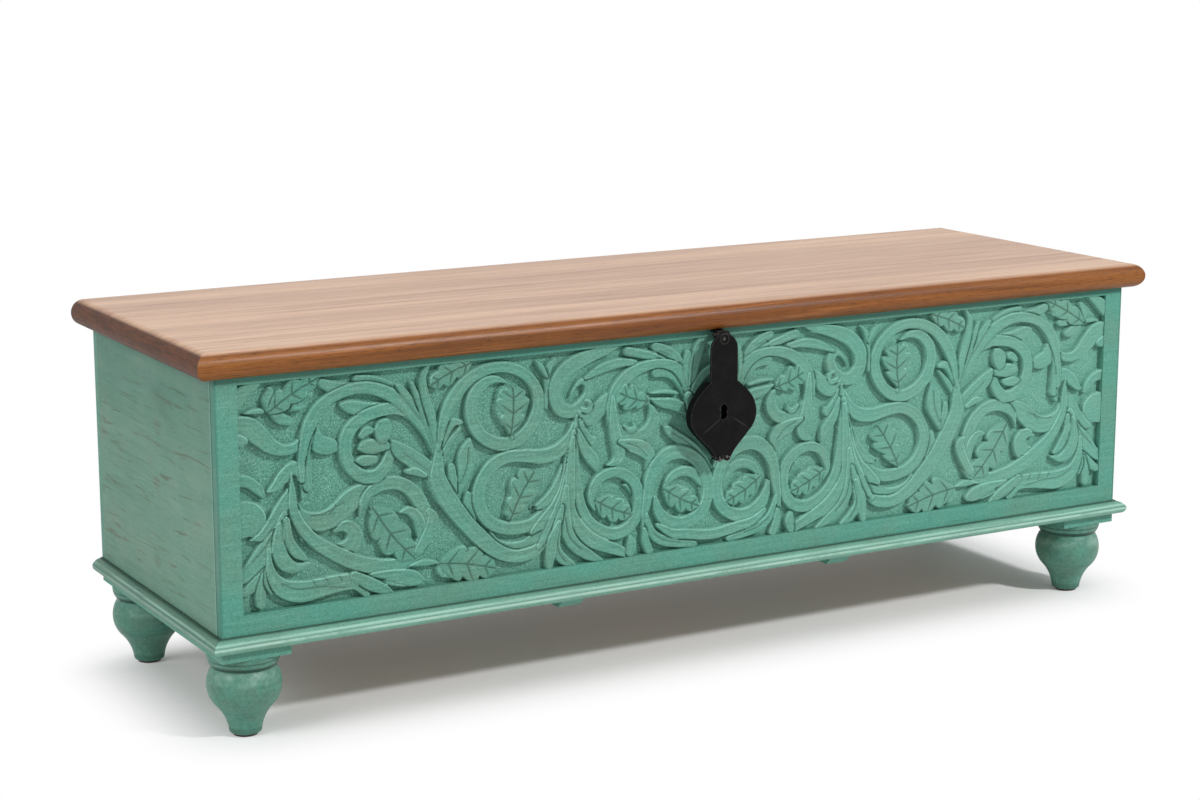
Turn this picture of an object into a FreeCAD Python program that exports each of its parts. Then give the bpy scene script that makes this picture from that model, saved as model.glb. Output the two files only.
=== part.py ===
import FreeCAD, Part
import math
import os
import Sketcher

# A low carved trunk: a nailed box of boards on four turned feet, with a thick
# round-edged lid that turns on two butt hinges at the back, and an iron hasp
# lock that hangs from the lid in front of the carved front board.
# Millimetres; +X to the trunk's right seen from the front, +Y to the back, +Z up.
# The origin is on the floor, under the middle of the whole trunk.

os.makedirs("parts", exist_ok=True)
doc = FreeCAD.newDocument("Trunk")
sheet = doc.addObject("Spreadsheet::Sheet", "Sizes")


# The driving dimensions, in millimetres.
sizes = {
    # The box, its carved field and general fits.
    "body_width": 1100.0,  # outside of the box, left to right
    "body_depth": 342.6,  # outside of the box, front to back
    "panel_height": 264.2,  # front, side and back boards
    "foot_height": 84.4,  # floor to the top of a turned foot, glide included
    "runner_thickness": 11.4,  # runners under the bottom board
    "front_thickness": 22.0,  # carved front board
    "side_thickness": 20.0,  # end boards
    "back_thickness": 18.0,  # back board
    "bottom_thickness": 12.0,  # bottom board
    "lap_thickness": 10.0,  # what a rebated front or back board leaves over the end boards
    "field_side_border": 23.0,  # plain border left and right of the carved field
    "field_top_border": 7.6,  # plain border above the carved field
    "field_bottom_border": 33.8,  # plain board below the carved field, moulding included
    "field_depth": 8.5,  # how deep the carved ground is sunk
    "stem_height": 6.6,  # how far the carved stems stand out from their ground
    "joint_fit": 0.2,  # play around a fitting let into wood
    "hole_fit": 0.1,  # play around a nail, screw, rivet or bolt
    "cut_overrun": 1.0,  # how far a cutting shape runs past what it cuts
    # What is under the box: moulding, runners, feet and glides.
    "moulding_height": 14.2,  # base moulding
    "moulding_reach": 11.6,  # how far the moulding stands out from the boards
    "end_runner_width": 71.0,  # runner that carries the feet
    "mid_runner_width": 26.0,  # runner under the middle of the box
    "mid_runner_end_distance": 383.0,  # middle runner's middle from the end of the box
    "mid_runner_inset": 2.0,  # middle runner's end behind the face of the boards
    "runner_bevel": 9.0,  # slope under the end of a middle runner
    "foot_disc_radius": 36.0,  # disc at the top of a foot
    "foot_neck_radius": 31.2,  # groove between disc and bulb
    "foot_bulb_radius": 36.7,  # widest place of a foot
    "foot_toe_radius": 16.0,  # thin lower end of a foot
    "foot_bolt_radius": 4.0,  # bolt that holds a foot
    "foot_bolt_grip": 42.0,  # bolt's length inside a foot
    "foot_bolt_cover": 3.0,  # bottom board left above a bolt
    "glide_radius": 12.6,  # nailed glide under a foot
    "glide_height": 2.4,  # thickness of a glide
    "glide_nail_radius": 1.2,  # nail of a glide
    "glide_nail_length": 12.0,  # nail of a glide, above the glide
    # The lid, its battens and its hinges.
    "lid_thickness": 27.0,  # lid board
    "lid_side_overhang": 21.0,  # lid past the end boards
    "lid_front_overhang": 15.5,  # lid past the front board
    "lid_back_overhang": 6.0,  # lid past the back board
    "lid_nose_flat": 0.2,  # flat left in the middle of the lid's round edge
    "batten_width": 40.0,  # batten under the lid
    "batten_thickness": 14.0,  # batten under the lid
    "batten_end_distance": 250.0,  # batten's middle from the end of the box
    "batten_play": 12.0,  # batten's ends clear of the boards
    "hinge_end_distance": 170.0,  # hinge's middle from the end of the box
    "hinge_length": 55.0,  # butt hinge, along its pin
    "hinge_leaf_width": 15.0,  # part of a leaf that lies on the wood
    "hinge_leaf_thickness": 1.6,  # leaf
    "hinge_leaf_gap": 0.5,  # between the leaves with the lid shut
    "knuckle_radius": 3.2,  # outside of the hinge's barrel
    "knuckle_gap": 0.3,  # between two knuckles, and between the barrel and the back board
    "hinge_pin_radius": 1.6,  # hinge pin
    "hinge_pin_head": 1.2,  # pin head past the barrel, each end
    "pin_fit": 0.06,  # play between a pin and its knuckles
    # Fasteners.
    "screw_radius": 1.5,  # small countersunk screw
    "screw_head_radius": 3.0,  # small countersunk screw
    "screw_head_depth": 1.4,  # small countersunk screw
    "screw_length": 12.0,  # small countersunk screw
    "wood_screw_radius": 2.0,  # screw through a runner or batten
    "wood_screw_head_radius": 4.0,  # screw through a runner or batten
    "wood_screw_bite": 8.0,  # such a screw's length in the second board
    "nail_radius": 1.2,  # nail at the corners
    "nail_length": 45.0,  # nail at the corners
    "nail_inset": 9.0,  # corner nail from the end of the board
    "brad_radius": 0.8,  # brad through the moulding
    "brad_length": 20.0,  # brad through the moulding
    # The hasp and its hinge.
    "hasp_reach": 19.2,  # hasp's face in front of the front board
    "hasp_plate": 2.2,  # iron of the hasp
    "strap_half_width": 16.3,  # hasp's strap
    "strap_drop": 2.6,  # top of the strap below the lid
    "strap_shoulder_drop": 52.7,  # strap's lower end below the lid
    "case_half_width": 40.2,  # widest place of the heart-shaped lock case
    "case_middle_drop": 87.5,  # widest place below the lid
    "case_toe_drop": 134.0,  # lower end of the heart shape below the lid
    "case_toe_half_width": 8.4,  # lower end of the heart shape
    "case_depth": 10.0,  # lock case, front to back
    "case_knob_radius": 4.0,  # curled knob at the toe
    "case_knob_offset": 4.6,  # knob from the hasp's middle
    "back_plate_thickness": 1.5,  # plate that closes the case
    "keyhole_radius": 4.7,  # round upper end of the keyhole
    "keyhole_slot_radius": 4.4,  # lower end of the keyhole
    "keyhole_drop": 81.2,  # round upper end below the lid
    "keyhole_length": 6.8,  # between the centres of the keyhole's ends
    "hasp_axis_inset": 6.7,  # hasp's pin behind the hasp's face
    "hasp_axis_drop": 3.6,  # hasp's pin below the lid
    "hasp_barrel_radius": 2.9,  # hasp hinge's barrel
    "hasp_pin_radius": 1.3,  # hasp's pin
    "hasp_pin_head": 1.0,  # hasp's pin past the barrel
    "hasp_leaf_half_width": 8.6,  # leaf riveted behind the strap
    "hasp_leaf_thickness": 1.4,  # leaf riveted behind the strap
    "hasp_leaf_length": 14.0,  # leaf riveted behind the strap
    "hasp_leaf_drop": 2.4,  # leaf's top below the pin
    "hasp_rivet_radius": 1.8,  # rivet of the strap
    "hasp_rivet_head_radius": 2.5,  # rivet's head, sunk in the strap
    "hasp_rivet_drop": 7.8,  # rivet below the lid
    "hasp_rivet_sink": 0.6,  # rivet's head behind the strap's face
    # The lock in the hasp, and the bar on the board that it holds.
    "hanger_width": 10.0,  # tongue that carries the hasp
    "hanger_thickness": 2.4,  # tongue that carries the hasp
    "hanger_pad_width": 24.0,  # hanger's pad under the lid, inside the trunk
    "hanger_pad_length": 40.0,  # hanger's pad under the lid, inside the trunk
    "hanger_pad_inset": 3.0,  # pad clear of the front board
    "staple_thickness": 3.0,  # keeper bar on the front board
    "staple_height": 9.0,  # keeper bar on the front board
    "staple_middle_drop": 69.0,  # keeper bar below the lid
    "staple_nose": 1.8,  # iron in front of the keeper's eye
    "staple_eye_height": 6.0,  # keeper's eye
    "staple_root": 12.0,  # keeper's length in the wood
    "staple_play": 1.0,  # keeper's tip behind the front of the case
    "bolt_height": 6.0,  # lock bolt's thick end
    "bolt_length": 12.5,  # lock bolt's thick end
    "bolt_nose_length": 10.0,  # lock bolt's thin end
    "bolt_nose_height": 4.6,  # lock bolt's thin end
    "bolt_nose_thickness": 2.4,  # lock bolt's thin end
    "bolt_rest": 4.0,  # bolt's tip from the hasp's middle, unlocked
    "bolt_play": 0.3,  # play around the bolt
    "rail_thickness": 1.4,  # rail above and below the bolt
    "post_radius": 2.4,  # post between the case's front and its back plate
    "case_rivet_radius": 1.0,  # rivet in a post
    "case_rivet_head": 0.6,  # rivet's head behind the back plate
    "slot_half_width": 2.4,  # slot in the back plate, for the keeper
    "slot_above": 7.0,  # slot's top above the keeper's middle
    "slot_below": 39.0,  # slot's foot below the keeper's middle
}


class Size:
    """A length or a share that remembers the cells it was worked out from."""

    def __init__(self, number, text):
        self.number = number
        self.text = text

    @staticmethod
    def of(value):
        return value if isinstance(value, Size) else Size(float(value), repr(float(value)))

    def __add__(self, other):
        other = Size.of(other)
        return Size(self.number + other.number, f"({self.text} + {other.text})")

    def __sub__(self, other):
        other = Size.of(other)
        return Size(self.number - other.number, f"({self.text} - {other.text})")

    def __rsub__(self, other):
        return Size.of(other) - self

    def __mul__(self, other):
        other = Size.of(other)
        return Size(self.number * other.number, f"({self.text} * {other.text})")

    def __truediv__(self, other):
        other = Size.of(other)
        return Size(self.number / other.number, f"({self.text} / {other.text})")

    def __neg__(self):
        return Size(-self.number, f"(0 - {self.text})")

    def root(self):
        return Size(math.sqrt(self.number), f"sqrt({self.text})")

    __radd__ = __add__
    __rmul__ = __mul__


class Cells:
    """The driving dimensions, by name."""


size = Cells()
for row, (name, value) in enumerate(sizes.items(), 1):
    sheet.set(f"A{row}", name.replace("_", " "))
    sheet.set(f"B{row}", str(value))
    sheet.setAlias(f"B{row}", name)
    setattr(size, name, Size(value, f"Sizes.{name}"))

# Places worked out from the driving dimensions.
back_reach = size.knuckle_gap + size.knuckle_radius * 2
front_y = (size.hasp_reach - back_reach - size.body_depth) / 2
back_y = front_y + size.body_depth
runner_z = size.foot_height
panel_z = runner_z + size.runner_thickness
lid_z = panel_z + size.panel_height
half_width = size.body_width / 2
mid_runner_x = half_width - size.mid_runner_end_distance
batten_x = half_width - size.batten_end_distance
hinge_x = half_width - size.hinge_end_distance
hinge_y = back_y + size.knuckle_gap + size.knuckle_radius
inner_half_width = half_width - size.side_thickness
inner_front_y = front_y + size.front_thickness
inner_back_y = back_y - size.back_thickness
overrun = size.cut_overrun
whole = Size.of(0)


def bind(thing, prop, value):
    """Ties one property to the sheet."""
    thing.setExpression(prop, Size.of(value).text)


def place(thing, x=0, y=0, z=0):
    """Ties a thing's place to the sheet and leaves its turn as it is."""
    bind(thing, "Placement.Base.x", x)
    bind(thing, "Placement.Base.y", y)
    bind(thing, "Placement.Base.z", z)
    return thing


def turned(thing, axis, angle):
    """Turns a thing about an axis through its own origin, by a fixed angle."""
    thing.Placement = FreeCAD.Placement(FreeCAD.Vector(0, 0, 0), FreeCAD.Rotation(axis, angle))
    return thing


ALONG_X = FreeCAD.Vector(1, 0, 0)
ALONG_Y = FreeCAD.Vector(0, 1, 0)
ALONG_Z = FreeCAD.Vector(0, 0, 1)
RIGHT_ANGLE = 90.0


def block(name, low, high):
    """A box between two corners."""
    box = doc.addObject("Part::Box", name)
    bind(box, "Length", high[0] - low[0])
    bind(box, "Width", high[1] - low[1])
    bind(box, "Height", high[2] - low[2])
    return place(box, *low)


def rod(name, start, length, radius, axis="z"):
    """A round bar from a point, along +X, +Y or +Z."""
    bar = doc.addObject("Part::Cylinder", name)
    bind(bar, "Radius", radius)
    bind(bar, "Height", length)
    if axis == "x":
        turned(bar, ALONG_Y, RIGHT_ANGLE)
    if axis == "y":
        turned(bar, ALONG_X, -RIGHT_ANGLE)
    return place(bar, *start)


def cone(name, start, length, first_radius, last_radius, axis="z"):
    """A tapered bar from a point, along +X, +Y or +Z."""
    bar = doc.addObject("Part::Cone", name)
    bind(bar, "Radius1", first_radius)
    bind(bar, "Radius2", last_radius)
    bind(bar, "Height", length)
    if axis == "x":
        turned(bar, ALONG_Y, RIGHT_ANGLE)
    if axis == "y":
        turned(bar, ALONG_X, -RIGHT_ANGLE)
    return place(bar, *start)


def joined(name, things):
    """One solid of several that overlap or touch."""
    if len(things) == 1:
        return things[0]
    union = doc.addObject("Part::MultiFuse", name)
    union.Shapes = things
    union.Refine = True
    return union


def group(name, things):
    """Like pieces that stay separate solids under one name."""
    bundle = doc.addObject("Part::Compound", name)
    bundle.Links = things
    return bundle


def cut(name, base, tools):
    """A solid less the shapes that cut it."""
    result = doc.addObject("Part::Cut", name)
    result.Base = base
    result.Tool = group(name + "_cuts", tools) if len(tools) > 1 else tools[0]
    return result


def arc_radius(start, end, bulge):
    """An arc's radius from its chord and its bulge, the tangent of a quarter of its turn."""
    across = end[0] - start[0]
    up = end[1] - start[1]
    chord = (across * across + up * up).root()
    return chord * ((1 + bulge * bulge) / (4 * abs(bulge)))


def draw(sketch, points):
    """Draws a closed outline of lines and arcs, every corner tied to the sheet.

    A point is (x, y) or (x, y, bulge): with a bulge, an arc leads to it, bending
    to the left of its chord when the bulge is negative.
    """
    corners = [(Size.of(p[0]), Size.of(p[1])) for p in points]
    ends = []
    for number, point in enumerate(points):
        start, end = corners[number - 1], corners[number]
        first = FreeCAD.Vector(start[0].number, start[1].number, 0)
        last = FreeCAD.Vector(end[0].number, end[1].number, 0)
        if len(point) == 2:
            piece = sketch.addGeometry(Part.LineSegment(first, last), False)
            ends.append((piece, 1, 2))
            continue
        bulge = point[2]
        radius = arc_radius(start, end, bulge)
        chord = last - first
        normal = FreeCAD.Vector(-chord.y, chord.x, 0).normalize()
        offset = chord.Length * (1 - bulge * bulge) / (4 * bulge)
        centre = (first + last) * 0.5 + normal * offset
        first_angle = math.atan2(first.y - centre.y, first.x - centre.x)
        last_angle = math.atan2(last.y - centre.y, last.x - centre.x)
        circle = Part.Circle(centre, ALONG_Z, radius.number)
        if bulge > 0:
            piece = sketch.addGeometry(Part.ArcOfCircle(circle, first_angle, last_angle), False)
            ends.append((piece, 1, 2))
        else:
            piece = sketch.addGeometry(Part.ArcOfCircle(circle, last_angle, first_angle), False)
            ends.append((piece, 2, 1))
        held = sketch.addConstraint(Sketcher.Constraint("Radius", piece, radius.number))
        bind(sketch, f"Constraints[{held}]", radius)
    for number, (piece, first_end, last_end) in enumerate(ends):
        following = ends[(number + 1) % len(ends)]
        sketch.addConstraint(Sketcher.Constraint("Coincident", piece, last_end, following[0], following[1]))
        for kind, coordinate, axis_line in (("DistanceX", 0, -2), ("DistanceY", 1, -1)):
            where = corners[number][coordinate]
            if where.number == 0:
                sketch.addConstraint(Sketcher.Constraint("PointOnObject", piece, last_end, axis_line))
                continue
            held = sketch.addConstraint(Sketcher.Constraint(kind, -1, 1, piece, last_end, where.number))
            bind(sketch, f"Constraints[{held}]", where)
    return sketch


def outline(name, points):
    """An outline on its own, in a plane that its user turns."""
    return draw(doc.addObject("Sketcher::SketchObject", name), points)


def pulled(name, profile, direction, length):
    """An outline drawn out into a solid."""
    solid = doc.addObject("Part::Extrusion", name)
    solid.Base = profile
    solid.DirMode = "Custom"
    solid.Dir = direction
    solid.Solid = True
    bind(solid, "LengthFwd", length)
    return solid


def upright(profile, facing):
    """Stands an outline up: its own y runs up, its own x runs along +X, +Y, -X or -Y."""
    toward = {"+x": 0.0, "+y": RIGHT_ANGLE, "-x": 2 * RIGHT_ANGLE, "-y": -RIGHT_ANGLE}[facing]
    turn = FreeCAD.Rotation(ALONG_Z, toward).multiply(FreeCAD.Rotation(ALONG_X, RIGHT_ANGLE))
    profile.Placement = FreeCAD.Placement(FreeCAD.Vector(0, 0, 0), turn)
    return profile


def origin_plane(body, role):
    """One of a body's own origin planes."""
    return next(plane for plane in body.Origin.OriginFeatures if plane.Role == role)


pieces = {}


def piece(name, thing):
    """Names a finished sub-part."""
    thing.Label = name
    pieces[name] = thing
    return thing


SIDES = (("left", -1), ("right", 1))
ENDS = (("front", -1), ("back", 1))


def screw(name, start, length, radius, head_radius, head_depth, axis, way):
    """A countersunk screw whose head's face is at start; way is 1 or -1 along the axis."""
    if way > 0:
        head = cone(name + "_head", start, head_depth, head_radius, radius, axis)
        shank = rod(name + "_shank", start, length, radius, axis)
        return joined(name, [head, shank])
    step = {"x": (1, 0, 0), "y": (0, 1, 0), "z": (0, 0, 1)}[axis]
    head_start = [at - head_depth * along for at, along in zip(start, step)]
    shank_start = [at - length * along for at, along in zip(start, step)]
    head = cone(name + "_head", head_start, head_depth, radius, head_radius, axis)
    shank = rod(name + "_shank", shank_start, length, radius, axis)
    return joined(name, [head, shank])


# Runners: two broad ones flush with the ends carry the feet, two narrow ones
# stiffen the bottom between them. All four run from front to back.
foot_x = half_width - size.end_runner_width / 2
foot_front_y = front_y + size.end_runner_width / 2
foot_back_y = back_y - size.end_runner_width / 2
foot_places = []
for end, front_back in ENDS:
    for side, left_right in SIDES:
        foot_y = foot_front_y if end == "front" else foot_back_y
        foot_places.append((f"{end}_{side}", foot_x * left_right, foot_y))

runner_screw_shares = (0.32, 0.5, 0.68)
wood_screw_length = size.runner_thickness + size.wood_screw_bite
wood_screw_head_depth = size.wood_screw_head_radius - size.wood_screw_radius


def runner_screw_places(middle_x):
    return [(middle_x, front_y + size.body_depth * share, runner_z) for share in runner_screw_shares]


def wood_screw(name, at, extra=0, way=1):
    """The runners' and battens' screw, or the hole for it when it is given extra room."""
    return screw(name, at, wood_screw_length + extra, size.wood_screw_radius + extra,
                 size.wood_screw_head_radius + extra, wood_screw_head_depth, "z", way)


def foot_bolt(name, x, y, extra=0):
    """The bolt from a foot up through its runner into the bottom board, or its hole."""
    low_z = size.foot_height - size.foot_bolt_grip
    high_z = panel_z + size.bottom_thickness - size.foot_bolt_cover
    return rod(name, (x, y, low_z - extra), high_z - low_z + extra * 2, size.foot_bolt_radius + extra)


runner_screws = []
for side, left_right in SIDES:
    middle_x = foot_x * left_right
    low_x = middle_x - size.end_runner_width / 2
    board = block(f"end_runner_{side}_board", (low_x, front_y, runner_z),
                  (low_x + size.end_runner_width, back_y, panel_z))
    holes = [wood_screw(f"end_runner_{side}_hole_{n}", at, size.hole_fit)
             for n, at in enumerate(runner_screw_places(middle_x))]
    holes += [foot_bolt(f"end_runner_{side}_{name}_hole", x, y, size.hole_fit)
              for name, x, y in foot_places if name.endswith(side)]
    piece(f"end_runner_{side}", cut(f"end_runner_{side}", board, holes))
    runner_screws += [wood_screw(f"end_runner_{side}_screw_{n}", at)
                      for n, at in enumerate(runner_screw_places(middle_x))]

    middle_x = mid_runner_x * left_right
    bevel_lip_share = 0.2
    run = size.body_depth - size.mid_runner_inset * 2
    lip_z = size.runner_thickness * (1 - bevel_lip_share)
    profile = outline(f"mid_runner_{side}_outline", [
        (size.runner_bevel, 0), (run - size.runner_bevel, 0), (run, lip_z),
        (run, size.runner_thickness), (0, size.runner_thickness), (0, lip_z)])
    upright(profile, "+y")
    place(profile, middle_x - size.mid_runner_width / 2, front_y + size.mid_runner_inset, runner_z)
    bar = pulled(f"mid_runner_{side}_bar", profile, ALONG_X, size.mid_runner_width)
    holes = [wood_screw(f"mid_runner_{side}_hole_{n}", at, size.hole_fit)
             for n, at in enumerate(runner_screw_places(middle_x))]
    piece(f"mid_runner_{side}", cut(f"mid_runner_{side}", bar, holes))
    runner_screws += [wood_screw(f"mid_runner_{side}_screw_{n}", at)
                      for n, at in enumerate(runner_screw_places(middle_x))]
piece("runner_screws", group("runner_screws", runner_screws))

# Bottom board, laid on the runners inside the box.
board = block("bottom_board", (-inner_half_width, inner_front_y, panel_z),
              (inner_half_width, inner_back_y, panel_z + size.bottom_thickness))
holes = [foot_bolt(f"bottom_{name}_hole", x, y, size.hole_fit) for name, x, y in foot_places]
for side, left_right in SIDES:
    for run_name, middle_x in (("end", foot_x * left_right), ("mid", mid_runner_x * left_right)):
        holes += [wood_screw(f"bottom_{run_name}_{side}_hole_{n}", at, size.hole_fit)
                  for n, at in enumerate(runner_screw_places(middle_x))]
piece("bottom_board", cut("bottom_panel", board, holes))

# Feet, each turned in one piece: a disc under the runner, a sharp groove, a
# bulb and a thin toe. A bolt holds each one and a nailed glide is under it.
toe_edge_share = 0.84
toe_top_share = 0.06
waist_radius_share = 0.777
waist_height_share = 0.37
bulb_height_share = 0.62
groove_height_share = 0.825
disc_foot_share = 0.832
disc_top_share = 0.978
toe_bulge, waist_bulge, bulb_low_bulge, bulb_high_bulge, disc_bulge = 0.41, -0.16, 0.195, 0.155, 0.2

for name, x, y in foot_places:
    body = doc.addObject("PartDesign::Body", f"foot_{name}")
    profile = body.newObject("Sketcher::SketchObject", f"foot_{name}_outline")
    profile.AttachmentSupport = [(origin_plane(body, "XZ_Plane"), "")]
    profile.MapMode = "FlatFace"
    bore = size.foot_bolt_radius + size.hole_fit
    bore_z = size.foot_height - size.foot_bolt_grip - size.hole_fit
    nail = size.glide_nail_radius + size.hole_fit
    nail_z = size.glide_height + size.glide_nail_length + size.hole_fit
    draw(profile, [
        (nail, size.glide_height),
        (size.foot_toe_radius * toe_edge_share, size.glide_height),
        (size.foot_toe_radius, size.foot_height * toe_top_share, toe_bulge),
        (size.foot_bulb_radius * waist_radius_share, size.foot_height * waist_height_share, waist_bulge),
        (size.foot_bulb_radius, size.foot_height * bulb_height_share, bulb_low_bulge),
        (size.foot_neck_radius, size.foot_height * groove_height_share, bulb_high_bulge),
        (size.foot_neck_radius, size.foot_height * disc_foot_share),
        (size.foot_disc_radius, size.foot_height * disc_top_share, disc_bulge),
        (size.foot_disc_radius, size.foot_height),
        (bore, size.foot_height),
        (bore, bore_z),
        (0, bore_z),
        (0, nail_z),
        (nail, nail_z)])
    turning = body.newObject("PartDesign::Revolution", f"foot_{name}_turning")
    turning.Profile = profile
    turning.ReferenceAxis = (profile, ["V_Axis"])
    turning.Angle = 4 * RIGHT_ANGLE
    body.Tip = turning
    piece(f"foot_{name}", place(body, x, y))
    piece(f"foot_bolt_{name}", foot_bolt(f"foot_bolt_{name}", x, y))
    glide_foot_share = 0.95
    disc = cone(f"glide_{name}_disc", (x, y, 0), size.glide_height,
                size.glide_radius * glide_foot_share, size.glide_radius)
    nail_bar = rod(f"glide_{name}_nail", (x, y, 0), size.glide_height + size.glide_nail_length,
                   size.glide_nail_radius)
    piece(f"foot_glide_{name}", joined(f"foot_glide_{name}", [disc, nail_bar]))

# Corner nails, through the front and back boards into the ends of the side boards.
corner_nail_shares = (0.14, 0.38, 0.62, 0.86)


def corner_nails(prefix, end, extra=0):
    nails = []
    for side, left_right in SIDES:
        x = (half_width - size.nail_inset) * left_right
        for number, share in enumerate(corner_nail_shares):
            z = panel_z + size.panel_height * share
            y = front_y - extra if end == "front" else back_y - size.nail_length - extra
            nails.append(rod(f"{prefix}_{side}_{number}", (x, y, z), size.nail_length + extra * 2,
                             size.nail_radius + extra, "y"))
    return nails


for end, front_back in ENDS:
    piece(f"corner_nails_{end}", group(f"corner_nails_{end}", corner_nails(f"corner_nail_{end}", end)))

# Moulding brads, through the base moulding into the boards behind it.
brad_z = panel_z + size.moulding_height / 2
front_brad_shares = (0.06, 0.28, 0.5, 0.72, 0.94)
side_brad_shares = (0.15, 0.5, 0.85)
brad_depth = size.moulding_reach / 2 - size.brad_length


def brads(prefix, strip, extra=0):
    bars = []
    if strip == "front":
        for number, share in enumerate(front_brad_shares):
            x = size.body_width * share - half_width
            y = front_y - size.moulding_reach / 2 - extra
            bars.append(rod(f"{prefix}_{number}", (x, y, brad_z), size.brad_length + extra * 2,
                            size.brad_radius + extra, "y"))
        return bars
    for number, share in enumerate(side_brad_shares):
        y = front_y + size.body_depth * share
        reach = half_width + size.moulding_reach / 2 + extra
        start_x = -reach if strip == "left" else reach - size.brad_length - extra * 2
        bars.append(rod(f"{prefix}_{number}", (start_x, y, brad_z), size.brad_length + extra * 2,
                        size.brad_radius + extra, "x"))
    return bars


STRIPS = ("front", "left", "right")
piece("moulding_brads", group("moulding_brads", [
    bar for strip in STRIPS for bar in brads(f"brad_{strip}", strip)]))

# End boards, between the rebates of the front and back boards.
side_front_y = front_y + size.lap_thickness
side_back_y = back_y - size.lap_thickness
for side, left_right in SIDES:
    low_x = -half_width if side == "left" else inner_half_width
    board = block(f"side_{side}_board", (low_x, side_front_y, panel_z),
                  (low_x + size.side_thickness, side_back_y, lid_z))
    holes = corner_nails(f"side_{side}_front_hole", "front", size.hole_fit)
    holes += corner_nails(f"side_{side}_back_hole", "back", size.hole_fit)
    holes += brads(f"side_{side}_brad_hole", side, size.hole_fit)
    piece(f"side_panel_{side}", cut(f"side_panel_{side}", board, holes))


def rebates(prefix, low_y, high_y):
    """What a front or back board loses at each end, for the end boards."""
    shapes = []
    for side, left_right in SIDES:
        low_x = -half_width - overrun if side == "left" else inner_half_width
        shapes.append(block(f"{prefix}_rebate_{side}", (low_x, low_y, panel_z - overrun),
                            (low_x + size.side_thickness + overrun, high_y, lid_z + overrun)))
    return shapes


# Hinges: two butt hinges let in between the lid and the top edge of the back
# board. The board's leaf has three knuckles and the lid's leaf two.
knuckle_count = 5
knuckle_step = size.hinge_length / knuckle_count
leaf_low_y = back_y - size.hinge_leaf_width
leaf_edge_y = back_y + size.knuckle_gap / 2
leaf_recess = size.hinge_leaf_thickness + size.hinge_leaf_gap / 2
hinge_screw_shares = (0.17, 0.5, 0.83)
hinge_screw_y = back_y - size.hinge_leaf_width / 2


def leaf_plate_z(half):
    """The lower face of a leaf."""
    if half == "lid":
        return lid_z + size.hinge_leaf_gap / 2
    return lid_z - size.hinge_leaf_gap / 2 - size.hinge_leaf_thickness


def hinge_screw(name, low_x, share, half, extra=0):
    """A screw down into the back board or up into the lid, or its hole."""
    x = low_x + size.hinge_length * share
    if half == "lid":
        return screw(name, (x, hinge_screw_y, leaf_plate_z("lid")), size.screw_length + extra,
                     size.screw_radius + extra, size.screw_head_radius + extra,
                     size.screw_head_depth, "z", 1)
    top = leaf_plate_z("board") + size.hinge_leaf_thickness
    return screw(name, (x, hinge_screw_y, top), size.screw_length + extra,
                 size.screw_radius + extra, size.screw_head_radius + extra,
                 size.screw_head_depth, "z", -1)


def hinge_screws(prefix, low_x, half, extra=0):
    return [hinge_screw(f"{prefix}_{n}", low_x, share, half, extra)
            for n, share in enumerate(hinge_screw_shares)]


def hinge_leaf(prefix, low_x, half):
    plate_z = leaf_plate_z(half)
    solids = [block(f"{prefix}_plate", (low_x, leaf_low_y, plate_z),
                    (low_x + size.hinge_length, leaf_edge_y, plate_z + size.hinge_leaf_thickness))]
    for number in range(knuckle_count):
        if (number % 2 == 1) != (half == "lid"):
            continue
        start_x = low_x + knuckle_step * number
        length = knuckle_step
        if number > 0:
            start_x = start_x + size.knuckle_gap / 2
            length = length - size.knuckle_gap / 2
        if number < knuckle_count - 1:
            length = length - size.knuckle_gap / 2
        solids.append(rod(f"{prefix}_knuckle_{number}", (start_x, hinge_y, lid_z), length,
                          size.knuckle_radius, "x"))
        solids.append(block(f"{prefix}_tab_{number}", (start_x, leaf_low_y, plate_z),
                            (start_x + length, hinge_y, plate_z + size.hinge_leaf_thickness)))
    bore = rod(f"{prefix}_bore", (low_x - overrun, hinge_y, lid_z), size.hinge_length + overrun * 2,
               size.hinge_pin_radius + size.pin_fit, "x")
    return cut(prefix, joined(f"{prefix}_solid", solids),
               [bore] + hinge_screws(f"{prefix}_hole", low_x, half, size.hole_fit))


hinge_low_x = {side: hinge_x * left_right - size.hinge_length / 2 for side, left_right in SIDES}
for side, low_x in hinge_low_x.items():
    piece(f"hinge_board_leaf_{side}", hinge_leaf(f"hinge_board_leaf_{side}", low_x, "board"))
    piece(f"hinge_lid_leaf_{side}", hinge_leaf(f"hinge_lid_leaf_{side}", low_x, "lid"))
    shaft = rod(f"hinge_pin_{side}_shaft", (low_x - size.hinge_pin_head, hinge_y, lid_z),
                size.hinge_length + size.hinge_pin_head * 2, size.hinge_pin_radius, "x")
    head_radius_share = 0.85
    heads = [rod(f"hinge_pin_{side}_head_{n}", (start_x, hinge_y, lid_z), size.hinge_pin_head,
                 size.knuckle_radius * head_radius_share, "x")
             for n, start_x in enumerate((low_x - size.hinge_pin_head, low_x + size.hinge_length))]
    piece(f"hinge_pin_{side}", joined(f"hinge_pin_{side}", [shaft] + heads))
for half in ("board", "lid"):
    piece(f"hinge_{half}_screws", group(f"hinge_{half}_screws", [
        part for side, low_x in hinge_low_x.items()
        for part in hinge_screws(f"hinge_{half}_screw_{side}", low_x, half)]))

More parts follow.
